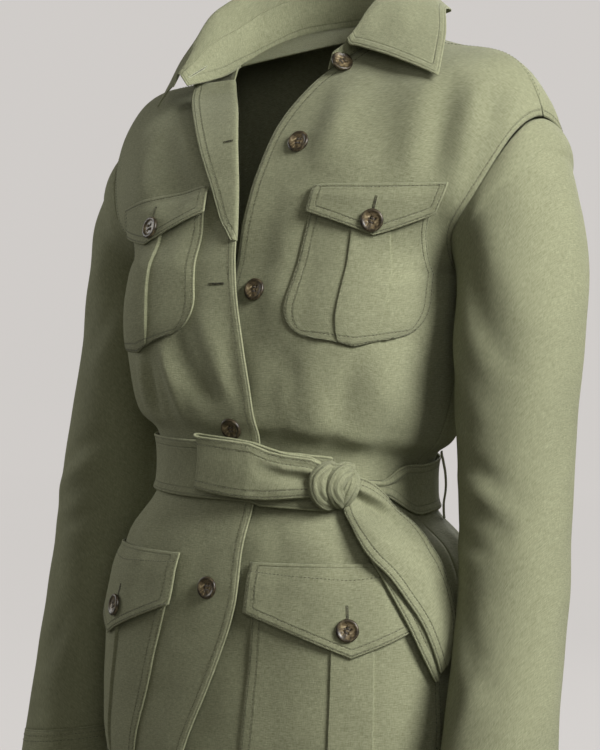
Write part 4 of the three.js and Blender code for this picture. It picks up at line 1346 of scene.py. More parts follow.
def leaf_lines():
    def control(along):
        top, roll, out = (collar_line(name, along) for name in ("top", "roll", "out"))
        rise = np.array([0, 0, 1.0])
        return [
            top + rise * 0.6,
            mix(top, roll, 0.4) + rise * 4,
            roll,
            mix(roll, out, 0.12) + rise * 1.5,
            mix(roll, out, 0.55) + rise * 2.5,
            out,
        ]

    return collar_strip(LEAF_START, control)


def make_leaf():
    lines = leaf_lines()
    across = np.linspace(0, 5, 45)
    points = np.moveaxis(smooth(lines, across), 0, 1)
    u, v = flat_lengths(points)
    normals = grid_normals(points, True)
    wave = ripple(points[..., 0] + points[..., 1], points[..., 2], 31) * np.clip(u / 30, 0, 1)
    points = points + normals * (0.5 * wave)[..., None]
    seam = np.minimum(np.minimum(u[:, -1:] - u, v), v[-1:] - v)
    add_cloth("collar_leaf", points, True, seam=seam, held="folded", rests=("made_collar_stand",))
    add_stitches("stitches_collar", inset_rows(points, grid_normals(points, True), ROW_FAR))


def inset_rows(points, normals, distance):
    """Paths at a distance inside the two ends and the last column of a grid."""
    u, v = flat_lengths(points)
    columns = points.shape[1]
    paths = []
    first = int(np.argmin(np.abs(v[:, columns - 1] - distance)))
    final = int(np.argmin(np.abs(v[-1, columns - 1] - distance - v[:, columns - 1])))
    outer = []
    for i in range(first, final + 1):
        j = np.interp(u[i, -1] - distance, u[i], np.arange(columns))
        outer.append((i, j))
    paths.append(pick(points, normals, outer))
    start_column = columns * 2 // 5
    for fixed in (first, final):
        stop = np.interp(u[fixed, -1] - distance, u[fixed], np.arange(columns))
        cells = [(fixed, j) for j in np.linspace(start_column, stop, 60)]
        paths.append(pick(points, normals, cells))
    return paths


def pick(points, normals, cells):
    """Points and normals at fractional columns of given rows of a grid."""
    made, ups = [], []
    for i, j in cells:
        low = min(int(j), points.shape[1] - 2)
        made.append(mix(points[i, low], points[i, low + 1], j - low))
        ups.append(mix(normals[i, low], normals[i, low + 1], j - low))
    made, ups = np.array(made), unit(np.array(ups))
    return made + ups * STRIP_LIFT, ups


# Turned-back front edge

def lapel_values(at):
    return [smooth([row[name] for row in LAPEL], at) for name in ("row", "wide", "off")]


def make_lapel():
    at = np.linspace(0, len(LAPEL) - 1, 91)[:, None]
    place, wide, off = lapel_values(at)
    share = np.linspace(0, 1, 25)[None]
    rise = WALL + LAPEL_GAP + off * share**0.7
    flat = on_panel("right", share * wide, place, rise)
    edge = on_panel("right", 0 * wide, place, -WALL / 2)
    raised = TURNBACK_RISE * np.clip(at - (len(LAPEL) - 2), 0, 1)[..., None] ** 2
    flat = flat + raised * np.array([0, 0, 1.0])
    edge = edge + raised * np.array([0, 0, 1.0])
    middle = (edge + flat[:, :1]) / 2
    reach = (flat[:, :1] - edge) / 2
    inward = unit(flat[:, 1:2] - flat[:, :1])
    turn = np.linspace(-np.pi / 2, np.pi / 2, 9)[None, :-1, None]
    radius = np.linalg.norm(reach, axis=-1, keepdims=True)
    roll = middle + reach * np.sin(turn) - inward * radius * np.cos(turn) * 1.2
    points = np.concatenate([roll, flat], axis=1)
    u, _ = flat_lengths(points)
    seam = np.minimum(u[:, -1:] - u, 60)
    add_cloth(
        "front_right_turnback", points, True, seam=seam, held="folded", rests=("made_front_right",)
    )
    normals = grid_normals(points, True)
    cells = []
    for i in range(4, points.shape[0] - 2):
        if u[i, -1] > ROW_FAR + 6:
            cells.append((i, np.interp(u[i, -1] - ROW_FAR, u[i], np.arange(points.shape[1]))))
    add_stitches("stitches_turnback", [pick(points, normals, cells)])


# Pockets and flaps

def pocket_width(pocket):
    middle = (pocket["top_z"] + pocket["low_z"]) / 2
    spots = []
    for u in (0.0, 1.0):
        across = pocket_across(pocket, np.array(u), np.array(0.5))
        place = PANELS[pocket["panel"]].place_at(across, middle)
        spots.append(PANELS[pocket["panel"]].point(across, place))
    return np.linalg.norm(spots[0] - spots[1]) * POCKET_FULLNESS


def pocket_height(pocket):
    return pocket["top_z"] - pocket["low_z"]


def pleat_share(u, width):
    """1 on the raised box pleat and 0 beside it."""
    off = np.abs(u - 0.5) - PLEAT_WIDTH / 2 / width
    return np.clip(0.5 - off / PLEAT_EDGE, 0, 1)


def pocket_rise(pocket, u, v, width):
    """Height of a pocket's outer face over its panel."""
    puff = pocket["puff"] * hump(u) ** PUFF_POWER * hump(v) ** PUFF_POWER
    held = np.clip(v * 6, 0, 1) * np.clip((1 - v) * 6, 0, 1)
    pleat = PLEAT_RISE * pleat_share(u, width)
    return WALL + POCKET_SEAT + puff + pleat * (0.35 + 0.65 * held)


def pocket_across(pocket, u, v):
    height = pocket_height(pocket)
    corner = np.clip((v * height - (height - pocket["round"])) / (pocket["round"] or 1), 0, 1)
    inset = (pocket["round"] / height) * (1 - np.sqrt(1 - corner**2)) * 0.9
    share = mix(inset, 1 - inset, u)
    inner = mix(pocket["top_in"], pocket["low_in"], v)
    outer = mix(pocket["top_out"], pocket["low_out"], v)
    return mix(inner, outer, share)


def pocket_surface(pocket):
    width = pocket_width(pocket)
    panel = PANELS[pocket["panel"]]

    def surface(u, v):
        u, v = np.broadcast_arrays(np.asarray(u, float), np.asarray(v, float))
        across = pocket_across(pocket, u, v)
        dip = pocket["point"] * (1 - np.abs(2 * u - 1)) * v
        z = mix(pocket["top_z"], pocket["low_z"], v) - dip + pocket["tilt"] * u
        place = panel.place_at(across, z)
        return on_panel(pocket["panel"], across, place, pocket_rise(pocket, u, v, width))

    return surface, width


def edge_distance(u, v, width, height):
    sides = np.minimum(u, 1 - u) * width
    ends = np.minimum(v, 1 - v) * height
    return np.minimum(sides, ends)


def box_rows(surface, width, height, distance, turn, top=False):
    """Paths inside the two sides and the bottom of a pocket, and its top if asked."""
    du, dv = distance / width, distance / height
    down = np.linspace(0.01, 1 - dv, 120)
    across = np.linspace(du, 1 - du, 120)
    paths = [
        grid_path(surface, np.full(120, du), down, turn),
        grid_path(surface, across, np.full(120, 1 - dv), turn),
        grid_path(surface, np.full(120, 1 - du), down, turn),
    ]
    if top:
        paths.append(grid_path(surface, across, np.full(120, dv), turn))
    return paths


def make_pocket(name, pocket):
    surface, width = pocket_surface(pocket)
    half = PLEAT_WIDTH / 2 / width
    edges = [
        0.5 + side * (half + k * PLEAT_EDGE / 2) for side in (-1, 1) for k in (-1.3, -0.9, 0.9, 1.3)
    ]
    u = np.unique(np.concatenate([np.linspace(0, 1, POCKET_GRID[1] + 1), edges, [0.008, 0.992]]))
    v = np.unique(np.concatenate([np.linspace(0, 0.8, POCKET_GRID[0]), np.linspace(0.8, 1, 26)]))
    points = surface(u[None], v[:, None])
    left = pocket["panel"] == "left"
    seam = edge_distance(u[None], v[:, None], width, pocket_height(pocket))
    pleated = np.abs(np.abs(u[None] - 0.5) - half) * width + 0 * v[:, None]
    seam = np.minimum(seam, pleated + 12)
    add_cloth(
        "pocket_" + name,
        points,
        left,
        wall=WALL,
        seam=seam,
        held="laid",
        rests=("made_front_" + pocket["panel"],),
    )
    turn = -1 if left else 1
    height = pocket_height(pocket)
    paths = []
    for distance in (ROW_NEAR, ROW_FAR):
        paths += box_rows(surface, width, height, distance, turn)
    add_stitches("stitches_pocket_" + name, paths)


def flap_surface(pocket):
    width = pocket_width(pocket)
    panel = PANELS[pocket["panel"]]

    def surface(u, v):
        u, v = np.broadcast_arrays(np.asarray(u, float), np.asarray(v, float))
        across = pocket_across(pocket, u, 0 * v) + mix(-FLAP_REACH, FLAP_REACH, u)
        top = pocket["top_z"] + FLAP_ABOVE
        point = pocket["flap_point"] * (1 - np.abs(2 * u - 1))
        drop = mix(top, pocket["flap_z"] - point, v)
        share = np.clip((pocket["top_z"] - drop) / pocket_height(pocket), 0, 1)
        z = drop + pocket["tilt"] * u
        smooth_pleat = PLEAT_RISE * 0.8 * np.clip(v * 3, 0, 1)
        puff = pocket["puff"] * hump(u) ** PUFF_POWER * hump(share) ** PUFF_POWER
        lift = WALL + POCKET_SEAT + puff + smooth_pleat + FLAP_SEAT + FLAP_SPREAD * v**2
        place = panel.place_at(across, z)
        return on_panel(pocket["panel"], across, place, lift)

    return surface, width


def flap_sizes(surface):
    """Length of a flap at its side and at its point."""
    v = np.linspace(0, 1, 20)
    lengths = []
    for u in (0.02, 0.5):
        points = surface(np.full(20, u), v)
        lengths.append(np.linalg.norm(np.diff(points, axis=0), axis=1).sum())
    return lengths


def flap_rows(surface, width, distance, turn):
    side, middle = flap_sizes(surface)
    du = distance / width
    u = np.linspace(du, 1 - du, 160)
    height = mix(middle, side, np.abs(2 * u - 1))
    low = 1 - distance / height
    down = np.linspace(0.02, 1 - distance / side, 50)
    return [
        grid_path(surface, np.full(50, du), down, turn),
        grid_path(surface, u, low, turn),
        grid_path(surface, np.full(50, 1 - du), down, turn),
    ]


def make_flap(name, pocket):
    surface, width = flap_surface(pocket)
    side, middle = flap_sizes(surface)
    u = np.linspace(0, 1, FLAP_GRID[1] + 1)
    v = np.linspace(0, 1, FLAP_GRID[0] + 1)
    points = surface(u[None], v[:, None])
    left = pocket["panel"] == "left"
    height = mix(middle, side, np.abs(2 * u - 1))[None]
    seam = np.minimum(np.minimum(u, 1 - u)[None] * width, (1 - v)[:, None] * height)
    seam = np.minimum(seam, v[:, None] * height + 4.2)
    add_cloth(
        "flap_" + name, points, left, seam=seam, held="laid", rests=("made_pocket_" + name,)
    )
    turn = -1 if left else 1
    paths = []
    for distance in (ROW_NEAR, ROW_FAR):
        paths += flap_rows(surface, width, distance, turn)
    across = np.linspace(0.01, 0.99, 160)
    sewn = FLAP_SEWN_HIP if "hip" in name else FLAP_SEWN_CHEST
    paths.append(grid_path(surface, across, np.full(160, sewn / side), turn))
    add_stitches("stitches_flap_" + name, paths)


# Buttons and buttonholes

BUTTON_PROFILE = [
    (0, 0), (8.6, 0), (9.6, 0.35), (10, 1.2), (9.9, 2.2), (9.4, 2.95), (8.6, 3.2),
    (7.7, 3.05), (6.9, 2.5), (6.2, 2.15), (5.0, 2.0), (0, 2.0),
]
BUTTON_SIDES = 56
HOLE_RADIUS = 0.95
HOLE_SPACING = 1.75
HOLE_FLOOR = 0.7
BUTTON_THREAD_LOW = 1.75
BUTTON_THREAD_RISE = 0.75
# The stand's button hangs low on its thread and leans back; a flap's sits low on its flap
STAND_BUTTON_UP = 0.12
STAND_BUTTON_LEAN = (0.62, 0.78)
FLAP_BUTTON = 0.72
# Buttonholes: how far above a flap's button one starts and stops, then the three on the fronts
FLAP_HOLE = (21, 5)
FRONT_HOLE = dict(start=0.036, stop=0.07, z=-245.5)
FACING_HOLE = dict(start=0.05, stop=0.27, place=3.13)
STAND_HOLE = dict(start=10.32, stop=10.86, up=0.52)
HOLE_THREAD_LIFT = 0.15


def lathe_mesh(name, profile, sides, centre=(0, 0)):
    """A closed turned solid from (radius, height) points that start and end on the axis."""
    rings = profile[1:-1]
    turn = np.arange(sides) * 2 * np.pi / sides
    points = [(centre[0], centre[1], profile[0][1])]
    for radius, height in rings:
        for angle in turn:
            points.append(
                (centre[0] + radius * np.cos(angle), centre[1] + radius * np.sin(angle), height)
            )
    points.append((centre[0], centre[1], profile[-1][1]))
    faces = []
    for k in range(sides):
        n = (k + 1) % sides
        faces.append((0, 1 + n, 1 + k))
        for ring in range(len(rings) - 1):
            a = 1 + ring * sides
            faces.append((a + k, a + n, a + sides + n, a + sides + k))
        top = 1 + (len(rings) - 1) * sides
        faces.append((top + k, top + n, len(points) - 1))
    mesh = bpy.data.meshes.new(name)
    mesh.from_pydata((np.array(points) * MM).tolist(), [], faces)
    return mesh


def drilled_button():
    """The button's mesh with its four holes cut."""
    body = bpy.data.objects.new("button_blank", lathe_mesh("button", BUTTON_PROFILE, BUTTON_SIDES))
    bpy.context.scene.collection.objects.link(body)
    drills = []
    for x in (-HOLE_SPACING, HOLE_SPACING):
        for y in (-HOLE_SPACING, HOLE_SPACING):
            profile = [(0, HOLE_FLOOR), (HOLE_RADIUS, HOLE_FLOOR), (HOLE_RADIUS, 4), (0, 4)]
            drill = bpy.data.objects.new("drill", lathe_mesh("drill", profile, 20, (x, y)))
            bpy.context.scene.collection.objects.link(drill)
            cut = body.modifiers.new("hole", "BOOLEAN")
            cut.object = drill
            cut.operation = "DIFFERENCE"
            drills.append(drill)
    graph = bpy.context.evaluated_depsgraph_get()
    mesh = bpy.data.meshes.new_from_object(body.evaluated_get(graph))
    for made in drills + [body]:
        bpy.data.objects.remove(made)
    return mesh


def button_threads():
    """Two bars of thread over the button, from hole to hole."""
    paths = []
    for y in (-HOLE_SPACING, HOLE_SPACING):
        for shift in (-0.28, 0.28):
            x = np.linspace(-HOLE_SPACING, HOLE_SPACING, 9)
            arch = np.sqrt(np.clip(1 - (x / HOLE_SPACING) ** 2, 0, 1))
            height = BUTTON_THREAD_LOW + BUTTON_THREAD_RISE * arch
            points = np.stack([x, np.full(9, y + shift), height], axis=1)
            normals = np.tile([0.0, 0.0, 1.0], (9, 1))
            paths.append((points, normals))
    return stitched(paths, length=1.15, gap=-0.35, width=0.55)


def add_button(node, point, normal):
    turn = Vector((0, 0, 1)).rotation_difference(Vector(normal))
    thread_points, thread_faces = BUTTON_THREADS
    threads = bpy.data.meshes.new("threads_" + node)
    threads.from_pydata((thread_points * MM).tolist(), [], thread_faces.tolist())
    for mesh, material, name in (
        (BUTTON_MESH.copy(), "horn", "made_" + node),
        (threads, "button_thread", "threads_" + node),
    ):
        piece = bpy.data.objects.new(name, mesh)
        bpy.context.scene.collection.objects.link(piece)
        piece.rotation_mode = "QUATERNION"
        piece.rotation_quaternion = turn
        piece.location = Vector(point) * MM
        mesh.polygons.foreach_set("use_smooth", [True] * len(mesh.polygons))
        mesh.materials.clear()
        mesh.materials.append(MATERIALS[material])
        if material == "horn":
            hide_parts(node)
        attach(piece, "root")


def add_buttonhole(name, points, normals, material="pale_thread", slit="hole"):
    """A worked buttonhole along a path: its slit, two rows of thread and a bar at each end."""
    ahead = unit(np.gradient(points, axis=0))
    side = unit(np.cross(normals, ahead))
    rows = [(points + side * off, normals) for off in (-0.75, 0.75)]
    for end, way in ((0, -1), (-1, 1)):
        across = np.linspace(-1.3, 1.3, 9)[:, None]
        bar = points[end] + side[end] * across + ahead[end] * way * 0.35
        rows.append((bar, np.tile(normals[end], (9, 1))))
    add_stitches(name, rows, material, length=1.35, gap=-0.9, width=0.42, turned=True)
    # The slit is a strip of the slit material; the default "hole" is near-black painted shade of the
    # opening.
    length = np.linalg.norm(np.diff(points, axis=0), axis=1).sum()
    middle = [(points + normals * STRIP_LIFT, normals)]
    add_stitches(name + "_slit", middle, slit, length=length * 0.94, gap=0.0, width=0.5)


def panel_button(node):
    spot = BUTTONS[node]
    panel = PANELS[spot["panel"]]
    place = panel.place_at(spot["across"], spot["z"])
    point = on_panel(spot["panel"], spot["across"], place, max(spot["off"], 0.4))
    add_button(node, point, panel.normal(spot["across"], place))


def make_stand_button():
    spot = STAND_BUTTON

    def at(place, up):
        return mix(collar_line("seam", place), collar_line("top", place), up)

    along = at(spot["place"] + 0.1, spot["up"]) - at(spot["place"] - 0.1, spot["up"])
    rising = at(spot["place"], spot["up"] + 0.1) - at(spot["place"], spot["up"] - 0.1)
    normal = unit(np.cross(along, rising))
    tilted = unit(normal * STAND_BUTTON_LEAN[0] + unit(rising) * STAND_BUTTON_LEAN[1])
    centre = at(spot["place"], STAND_BUTTON_UP) + normal * spot["off"]
    add_button("button_stand", centre, tilted)


def make_flap_buttons():
    """A button on each flap and the buttonhole that shows above it."""
    for name, pocket in POCKETS.items():
        surface, _ = flap_surface(pocket)
        u, v = pocket["button"], FLAP_BUTTON
        left = pocket["panel"] == "left"
        (point,), (normal,) = grid_path(
            surface, np.array([u]), np.array([v]), -1 if left else 1, BUTTON_GAP
        )
        add_button("button_" + name, point, normal)
        length = flap_sizes(surface)[1]
        down = np.linspace(v - FLAP_HOLE[0] / length, v - FLAP_HOLE[1] / length, 30)
        points, normals = grid_path(
            surface, np.full(30, u), down, -1 if left else 1, HOLE_THREAD_LIFT
        )
        add_buttonhole("buttonhole_" + name, points, normals, "thread", slit="thread")


def make_front_buttonholes():
    """The unused buttonholes of the right front, its turned-back edge and the collar stand."""
    panel = PANELS["right"]
    across = np.linspace(FRONT_HOLE["start"], FRONT_HOLE["stop"], 30)
    place = panel.place_at(across, np.full(30, FRONT_HOLE["z"]))
    points, normals = panel_path("right", across, place, HOLE_THREAD_LIFT)
    add_buttonhole("buttonhole_front", points, normals, "thread")

    share = np.linspace(FACING_HOLE["start"], FACING_HOLE["stop"], 20)
    place, wide, off = lapel_values(np.full(20, FACING_HOLE["place"]))
    rise = WALL + LAPEL_GAP + off * share**0.7 + HOLE_THREAD_LIFT
    points = on_panel("right", share * wide, place, rise)
    normals = panel.normal(share * wide, place)
    add_buttonhole("buttonhole_facing", points, normals, "thread")

    along = np.linspace(STAND_HOLE["start"], STAND_HOLE["stop"], 30)
    low, top = collar_line("seam", along), collar_line("top", along)
    inward = -unit(np.cross(np.gradient(low, axis=0), top - low))
    points = mix(low, top, STAND_HOLE["up"]) + inward * (WALL + HOLE_THREAD_LIFT)
    add_buttonhole("buttonhole_stand", points, inward, "pale_thread")


# Belt

BELT_EDGE_PLACES = (BELT_ROWS[0], BELT_ROWS[-1])


def ease(low, high, value):
    """0 below a range and 1 above it, with a soft change between."""
    share = np.clip((value - low) / (high - low), 0, 1)
    return share * share * (3 - 2 * share)


def belt_gather(part, share, down):
    """How far the belt's rows draw together towards the knot, by its top and its lower edge."""
    if part is not BELT_PATH[0]:
        return 0 * share + 0 * down
    top = 0.78 * (1 - ease(0.5, 0.88, share))
    low = 0.70 * (1 - ease(0.55, 1.0, share))
    return mix(top, low, down)


def belt_points(down, columns):
    """Rows of points round the waist; down runs from the belt's top edge to its lower one."""
    total = sum(part["parts"] for part in BELT_PATH)
    made = []
    for part in BELT_PATH:
        count = max(round(columns * part["parts"] / total), 4)
        share = np.linspace(0, 1, count + 1)[1 if made else 0 :]
        across = mix(part["start"], part["stop"], share)[:, None]
        place = mix(BELT_EDGE_PLACES[0], BELT_EDGE_PLACES[1], down)[None]
        place = mix(place, BELT_ROWS[1], belt_gather(part, share[:, None], down[None]))
        rise = BELT_RISE + belt_relief(part, share[:, None], down[None])
        made.append(over_panel(part["panel"], across, place, rise))
    return np.concatenate(made)


def belt_relief(part, share, down):
    """Folds of the belt that run out from the knot, and its uneven edges."""
    if part is not BELT_PATH[0]:
        return 0.25 * np.sin(share * 21 + down * 4)
    near = hump(np.clip(0.25 + share * 0.7, 0, 1)) * (1 - ease(0.7, 1.0, share))
    ridge = np.exp(-(((down - 0.24 + 0.10 * share) / 0.09) ** 2))
    trough = np.exp(-(((down - 0.44 + 0.16 * share) / 0.10) ** 2))
    swell = np.exp(-(((down - 0.72) / 0.16) ** 2))
    return near * (2.4 * ridge - 1.8 * trough + 1.8 * swell) + 0.25 * np.sin(share * 17)


def band_seam(points):
    """Distance to the nearer long edge of a strip whose columns run across it."""
    u, _ = flat_lengths(points)
    return np.minimum(u, u[:, -1:] - u)


def strip_rows(points, normals):
    """Four rows of stitching along a strip, two in from each long edge."""
    u, _ = flat_lengths(points)
    columns = np.arange(points.shape[1])
    paths = []
    for distance in (ROW_NEAR, ROW_FAR):
        for far_side in (False, True):
            cells = []
            for i in range(points.shape[0]):
                wide = u[i, -1]
                if wide < 2.4 * distance + 2:
                    continue
                at = wide - distance if far_side else distance
                cells.append((i, np.interp(at, u[i], columns)))
            if len(cells) > 4:
                paths.append(pick(points, normals, cells))
    return paths


def make_belt():
    down = np.linspace(0, 1, 23)
    points = belt_points(down, BELT_COLUMNS)
    add_cloth(
        "belt_band", points, True, wall=BELT_WALL, seam=band_seam(points), held="gathered",
        rests=("made_back",),
    )
    add_stitches("stitches_belt", strip_rows(points, grid_normals(points, True)))


def bow_points(along, down, off):
    """Points of the half bow; along runs from the knot to its fold."""
    place = np.clip(along, 0, 1) * (len(BOW) - 1)
    index = np.clip(np.floor(place).astype(int), 0, len(BOW) - 2)
    beyond = np.maximum(along - 1, 0) * (len(BOW) - 1)

    def at(rows):
        made = np.zeros(np.broadcast(along, down).shape + (3,))
        for k, row in enumerate(BOW):
            z = mix(row["top_z"], row["low_z"], down)
            spot = PANELS[row["panel"]].place_at(np.full(z.shape, row["across"]), z)
            points = over_panel(row["panel"], row["across"], spot, off)
            made = np.where(np.broadcast_to(rows == k, made.shape[:2])[..., None], points, made)
        return made

    share = (place - index + beyond)[..., None]
    return mix(at(index), at(index + 1), share)


def make_bow():
    """A flat loop: out from the knot beneath, round its fold and back over the top."""
    radius = (BOW_OVER - BOW_UNDER) / 2
    middle = (BOW_OVER + BOW_UNDER) / 2
    out = np.linspace(-0.06, 0.965, 46)
    turn = np.linspace(-np.pi / 2, np.pi / 2, 11)[1:-1]
    along = np.concatenate([out, 0.965 + 0.035 * np.cos(turn), out[::-1]])[:, None]
    swing = np.concatenate([np.full(46, -1), np.sin(turn), np.full(46, 1)])[:, None]
    down = np.linspace(0, 1, 25)[None]
    over = np.clip(swing, 0, 1)
    near = np.clip(1 - along / 0.52, 0, 1)
    pinch = np.exp(-(((down - 0.44 - 0.16 * near) / (0.07 + 0.12 * (1 - near))) ** 2))
    second = np.exp(-(((down - 0.16 - 0.10 * near) / 0.06) ** 2))
    ridge = np.exp(-(((down - 0.26 - 0.12 * near) / 0.10) ** 2))
    ridge = ridge + 0.8 * np.exp(-(((down - 0.80) / 0.14) ** 2))
    swell = 1.8 * hump(down) * np.clip(along * 2, 0, 1) * hump(along * 0.9)
    folds = near**0.7 * (3.0 * ridge - 5.5 * pinch - 1.6 * second)
    relief_over = over * (folds * np.clip((along + 0.02) * 9, 0.4, 1) + swell)
    squeeze = np.clip(along / 0.06 + 1, 0, 1)
    off = middle + radius * swing * squeeze + relief_over
    along, down, off = np.broadcast_arrays(along, down, off)
    points = bow_points(along, down, off)
    add_cloth(
        "belt_bow", points, False, wall=BELT_WALL, seam=band_seam(points), held="folded",
        rests=("made_belt_band",),
    )
    add_stitches("stitches_bow", strip_rows(points, grid_normals(points, False)))


def tail_points(table, rows, columns, folds):
    at = np.linspace(0, len(table) - 1, rows + 1)[:, None]
    share = np.linspace(0, 1, columns + 1)[None]
    value = {key: smooth([row[key] for row in table], at) for key in table[0]}
    across = mix(value["inner"], value["outer"], share)
    z = mix(value["inner_z"], value["outer_z"], share)
    place = PANELS["left"].place_at(across, z)
    off = value["off"] + 1.5 * hump(share) + fold_height(folds, share * 50, at * 20)
    return on_panel("left", across, place, off)


TAIL_FOLDS = {
    "belt_tail_front": table(
        "start end wide deep bend",
        ((16, -12), (36, 74), 5, -4.4, 5),
        ((26, -10), (45, 60), 5, 2.8, 4),
        ((8, 4), (20, 96), 7, 2.2, -2),
        ((34, 60), (24, 150), 9, -1.6, 3),
    ),
    "belt_tail_back": [
        dict(start=(24, 0), end=(26, 90), wide=9, deep=1.6, bend=3),
    ],
}


def make_tail(node, table):
    points = tail_points(table, *TAIL_GRID, TAIL_FOLDS[node])
    add_cloth(
        node, points, True, wall=BELT_WALL, seam=band_seam(points), held="hung",
        rests=("made_belt_knot",),
    )
    add_stitches("stitches_" + node, strip_rows(points, grid_normals(points, True)))


# The knot's turns of cloth: each a path of places (right, up, out) with half width and half depth
KNOT_TURNS = [
    table(
        "place wide deep",
        ((4, 15, -3), 6, 4),
        ((-5, 13, 4), 8, 5.5),
        ((-13, 5, 6), 9.5, 6),
        ((-13, -6, 6), 9, 6),
        ((-6, -14, 2), 8, 5),
        ((3, -16, -5), 6, 4),
    ),
    table(
        "place wide deep",
        ((18, 12, -5), 5, 3.5),
        ((11, 12, 4), 7.5, 5),
        ((3, 7, 9), 8.5, 6),
        ((-1, -2, 10), 8, 6),
        ((2, -10, 7), 7.5, 5.5),
        ((8, -17, -2), 6, 4),
    ),
    table(
        "place wide deep",
        ((13, 14, -6), 5, 3.5),
        ((17, 6, 2), 7, 4.5),
        ((14, -4, 5), 8, 5),
        ((9, -13, 2), 7, 4.5),
        ((4, -18, -5), 5, 3.5),
    ),
    table(
        "place wide deep",
        ((-16, 12, -5), 5, 3),
        ((-7, 15, 2), 5.5, 3.5),
        ((3, 14, 6), 5.5, 3.5),
        ((11, 15, 3), 5.5, 3.5),
        ((19, 15, -5), 4, 3),
    ),
]
KNOT_SIDES = 64
KNOT_STEPS = 90


def knot_turn(table, number, frame):
    """A flattened, creased tube of cloth along one turn of the knot."""
    centre, right, up, out = frame
    at = np.linspace(0, len(table) - 1, KNOT_STEPS)
    place = smooth([row["place"] for row in table], at)
    path = centre + place @ np.stack([right, up, out])
    ahead = unit(np.gradient(path, axis=0))
    away = out - (ahead @ out)[:, None] * ahead
    away = unit(away + 0.35 * unit(path - centre))
    side = unit(np.cross(ahead, away))
    wide = smooth([row["wide"] for row in table], at)[:, None]
    deep = smooth([row["deep"] for row in table], at)[:, None]
    ends = np.clip(np.minimum(at, at[-1] - at) * 5, 0, 1)[:, None] ** 0.5
    turn = np.linspace(0, 2 * np.pi, KNOT_SIDES + 1)[None]
    drift = at[:, None] * 0.5 + number
    creases = 0.10 * np.sin(turn * 5 + drift * 2) + 0.07 * np.sin(turn * 9 - drift * 3)
    deep = deep * (1 + creases * hump(turn / np.pi))
    across = np.cos(turn) * wide * ends
    lift = np.sin(turn) * deep * ends
    return path[:, None] + side[:, None] * across[..., None] + away[:, None] * lift[..., None]


def make_knot():
    """The knot: turns of cloth wrapped over each other."""
    panel = PANELS["left"]
    place = panel.place_at(KNOT["across"], KNOT["z"])
    centre = on_panel("left", KNOT["across"], place, KNOT["off"] - 6)
    out = panel.normal(KNOT["across"], place)
    right = unit(np.cross([0, 0, 1], out))
    up = np.cross(out, right)
    points, faces, flats, seams = [], [], [], []
    for number, table in enumerate(KNOT_TURNS):
        grid = knot_turn(table, number, (centre, right, up, out))
        rows, columns = grid.shape[:2]
        i, j = np.meshgrid(np.arange(rows - 1), np.arange(columns - 1), indexing="ij")
        a = (i * columns + j).ravel() + sum(len(part) for part in points)
        faces.append(np.stack([a, a + columns, a + columns + 1, a + 1], axis=1))
        u, v = flat_lengths(grid)
        points.append(grid.reshape(-1, 3))
        flats.append(np.stack([u.ravel(), v.ravel()], axis=1))
        seams.append(np.abs(u - u[:, KNOT_SIDES // 8][:, None]).ravel())
    mesh = bpy.data.meshes.new("made_belt_knot")
    mesh.from_pydata((np.concatenate(points) * MM).tolist(), [], np.concatenate(faces).tolist())
    layer = mesh.uv_layers.new(name="cloth")
    corners = np.zeros(len(mesh.loops), dtype=int)
    mesh.loops.foreach_get("vertex_index", corners)
    layer.data.foreach_set("uv", (np.concatenate(flats) * MM)[corners].ravel())
    distance = mesh.attributes.new("seam", "FLOAT", "POINT")
    distance.data.foreach_set("value", np.concatenate(seams))
    add_object(mesh, "belt_knot", MATERIALS["linen"])


def make_carrier(side):
    at = np.linspace(0, len(CARRIER) - 1, 49)[:, None]
    row = smooth([spot["row"] for spot in CARRIER], at)
    off = smooth([spot["off"] for spot in CARRIER], at)
    across = np.linspace(CARRIER_ACROSS[0], CARRIER_ACROSS[1], 7)[None]
    points = on_panel("back_" + side, across, row, off)
    u, _ = flat_lengths(points)
    seam = np.minimum(u, u[:, -1:] - u) + 0.6
    mesh = shell_mesh("made_belt_carrier_" + side, points, side == "right", seam=seam)
    add_object(mesh, "belt_carrier_" + side, MATERIALS["linen"])


# Stage, light and camera

CAMERA_TURN = math.radians(35)
CAMERA_DISTANCE = 1.9
CAMERA_HEIGHT = -0.325
FOCAL_PIXELS = 2060
FRAME_WIDTH = 600
AXIS_PIXEL = 308
FLOOR = -1.02
BACKDROP_RADIUS = 16.0
BACKDROP_TOP = 9.0
BACKDROP_CORNER = 3.0


def backdrop_material():
    """A plain pale grey studio wall and floor."""
    material, tree, surface = new_material("backdrop", 0.95, 0.1)
    surface.inputs["Base Color"].default_value = (0.02, 0.02, 0.02, 1)
    place = add_node(tree, "ShaderNodeTexCoord").outputs["Object"]
    cloud = add_node(tree, "ShaderNodeTexNoise", {"Vector": place, "Scale": 0.25, "Detail": 1.0})
    tone = add_node(
        tree, "ShaderNodeMapRange", {"Value": cloud.outputs["Fac"], "To Min": 0.975, "To Max": 1.025}
    ).outputs[0]
    glow = add_node(tree, "ShaderNodeCombineColor", {0: 0.625, 1: 0.600, 2: 0.580})
    scaled = add_node(
        tree, "ShaderNodeVectorMath", {0: glow.outputs[0], "Scale": tone}, operation="SCALE"
    )
    tree.links.new(scaled.outputs[0], surface.inputs["Emission Color"])
    surface.inputs["Emission Strength"].default_value = 1.0
    return material


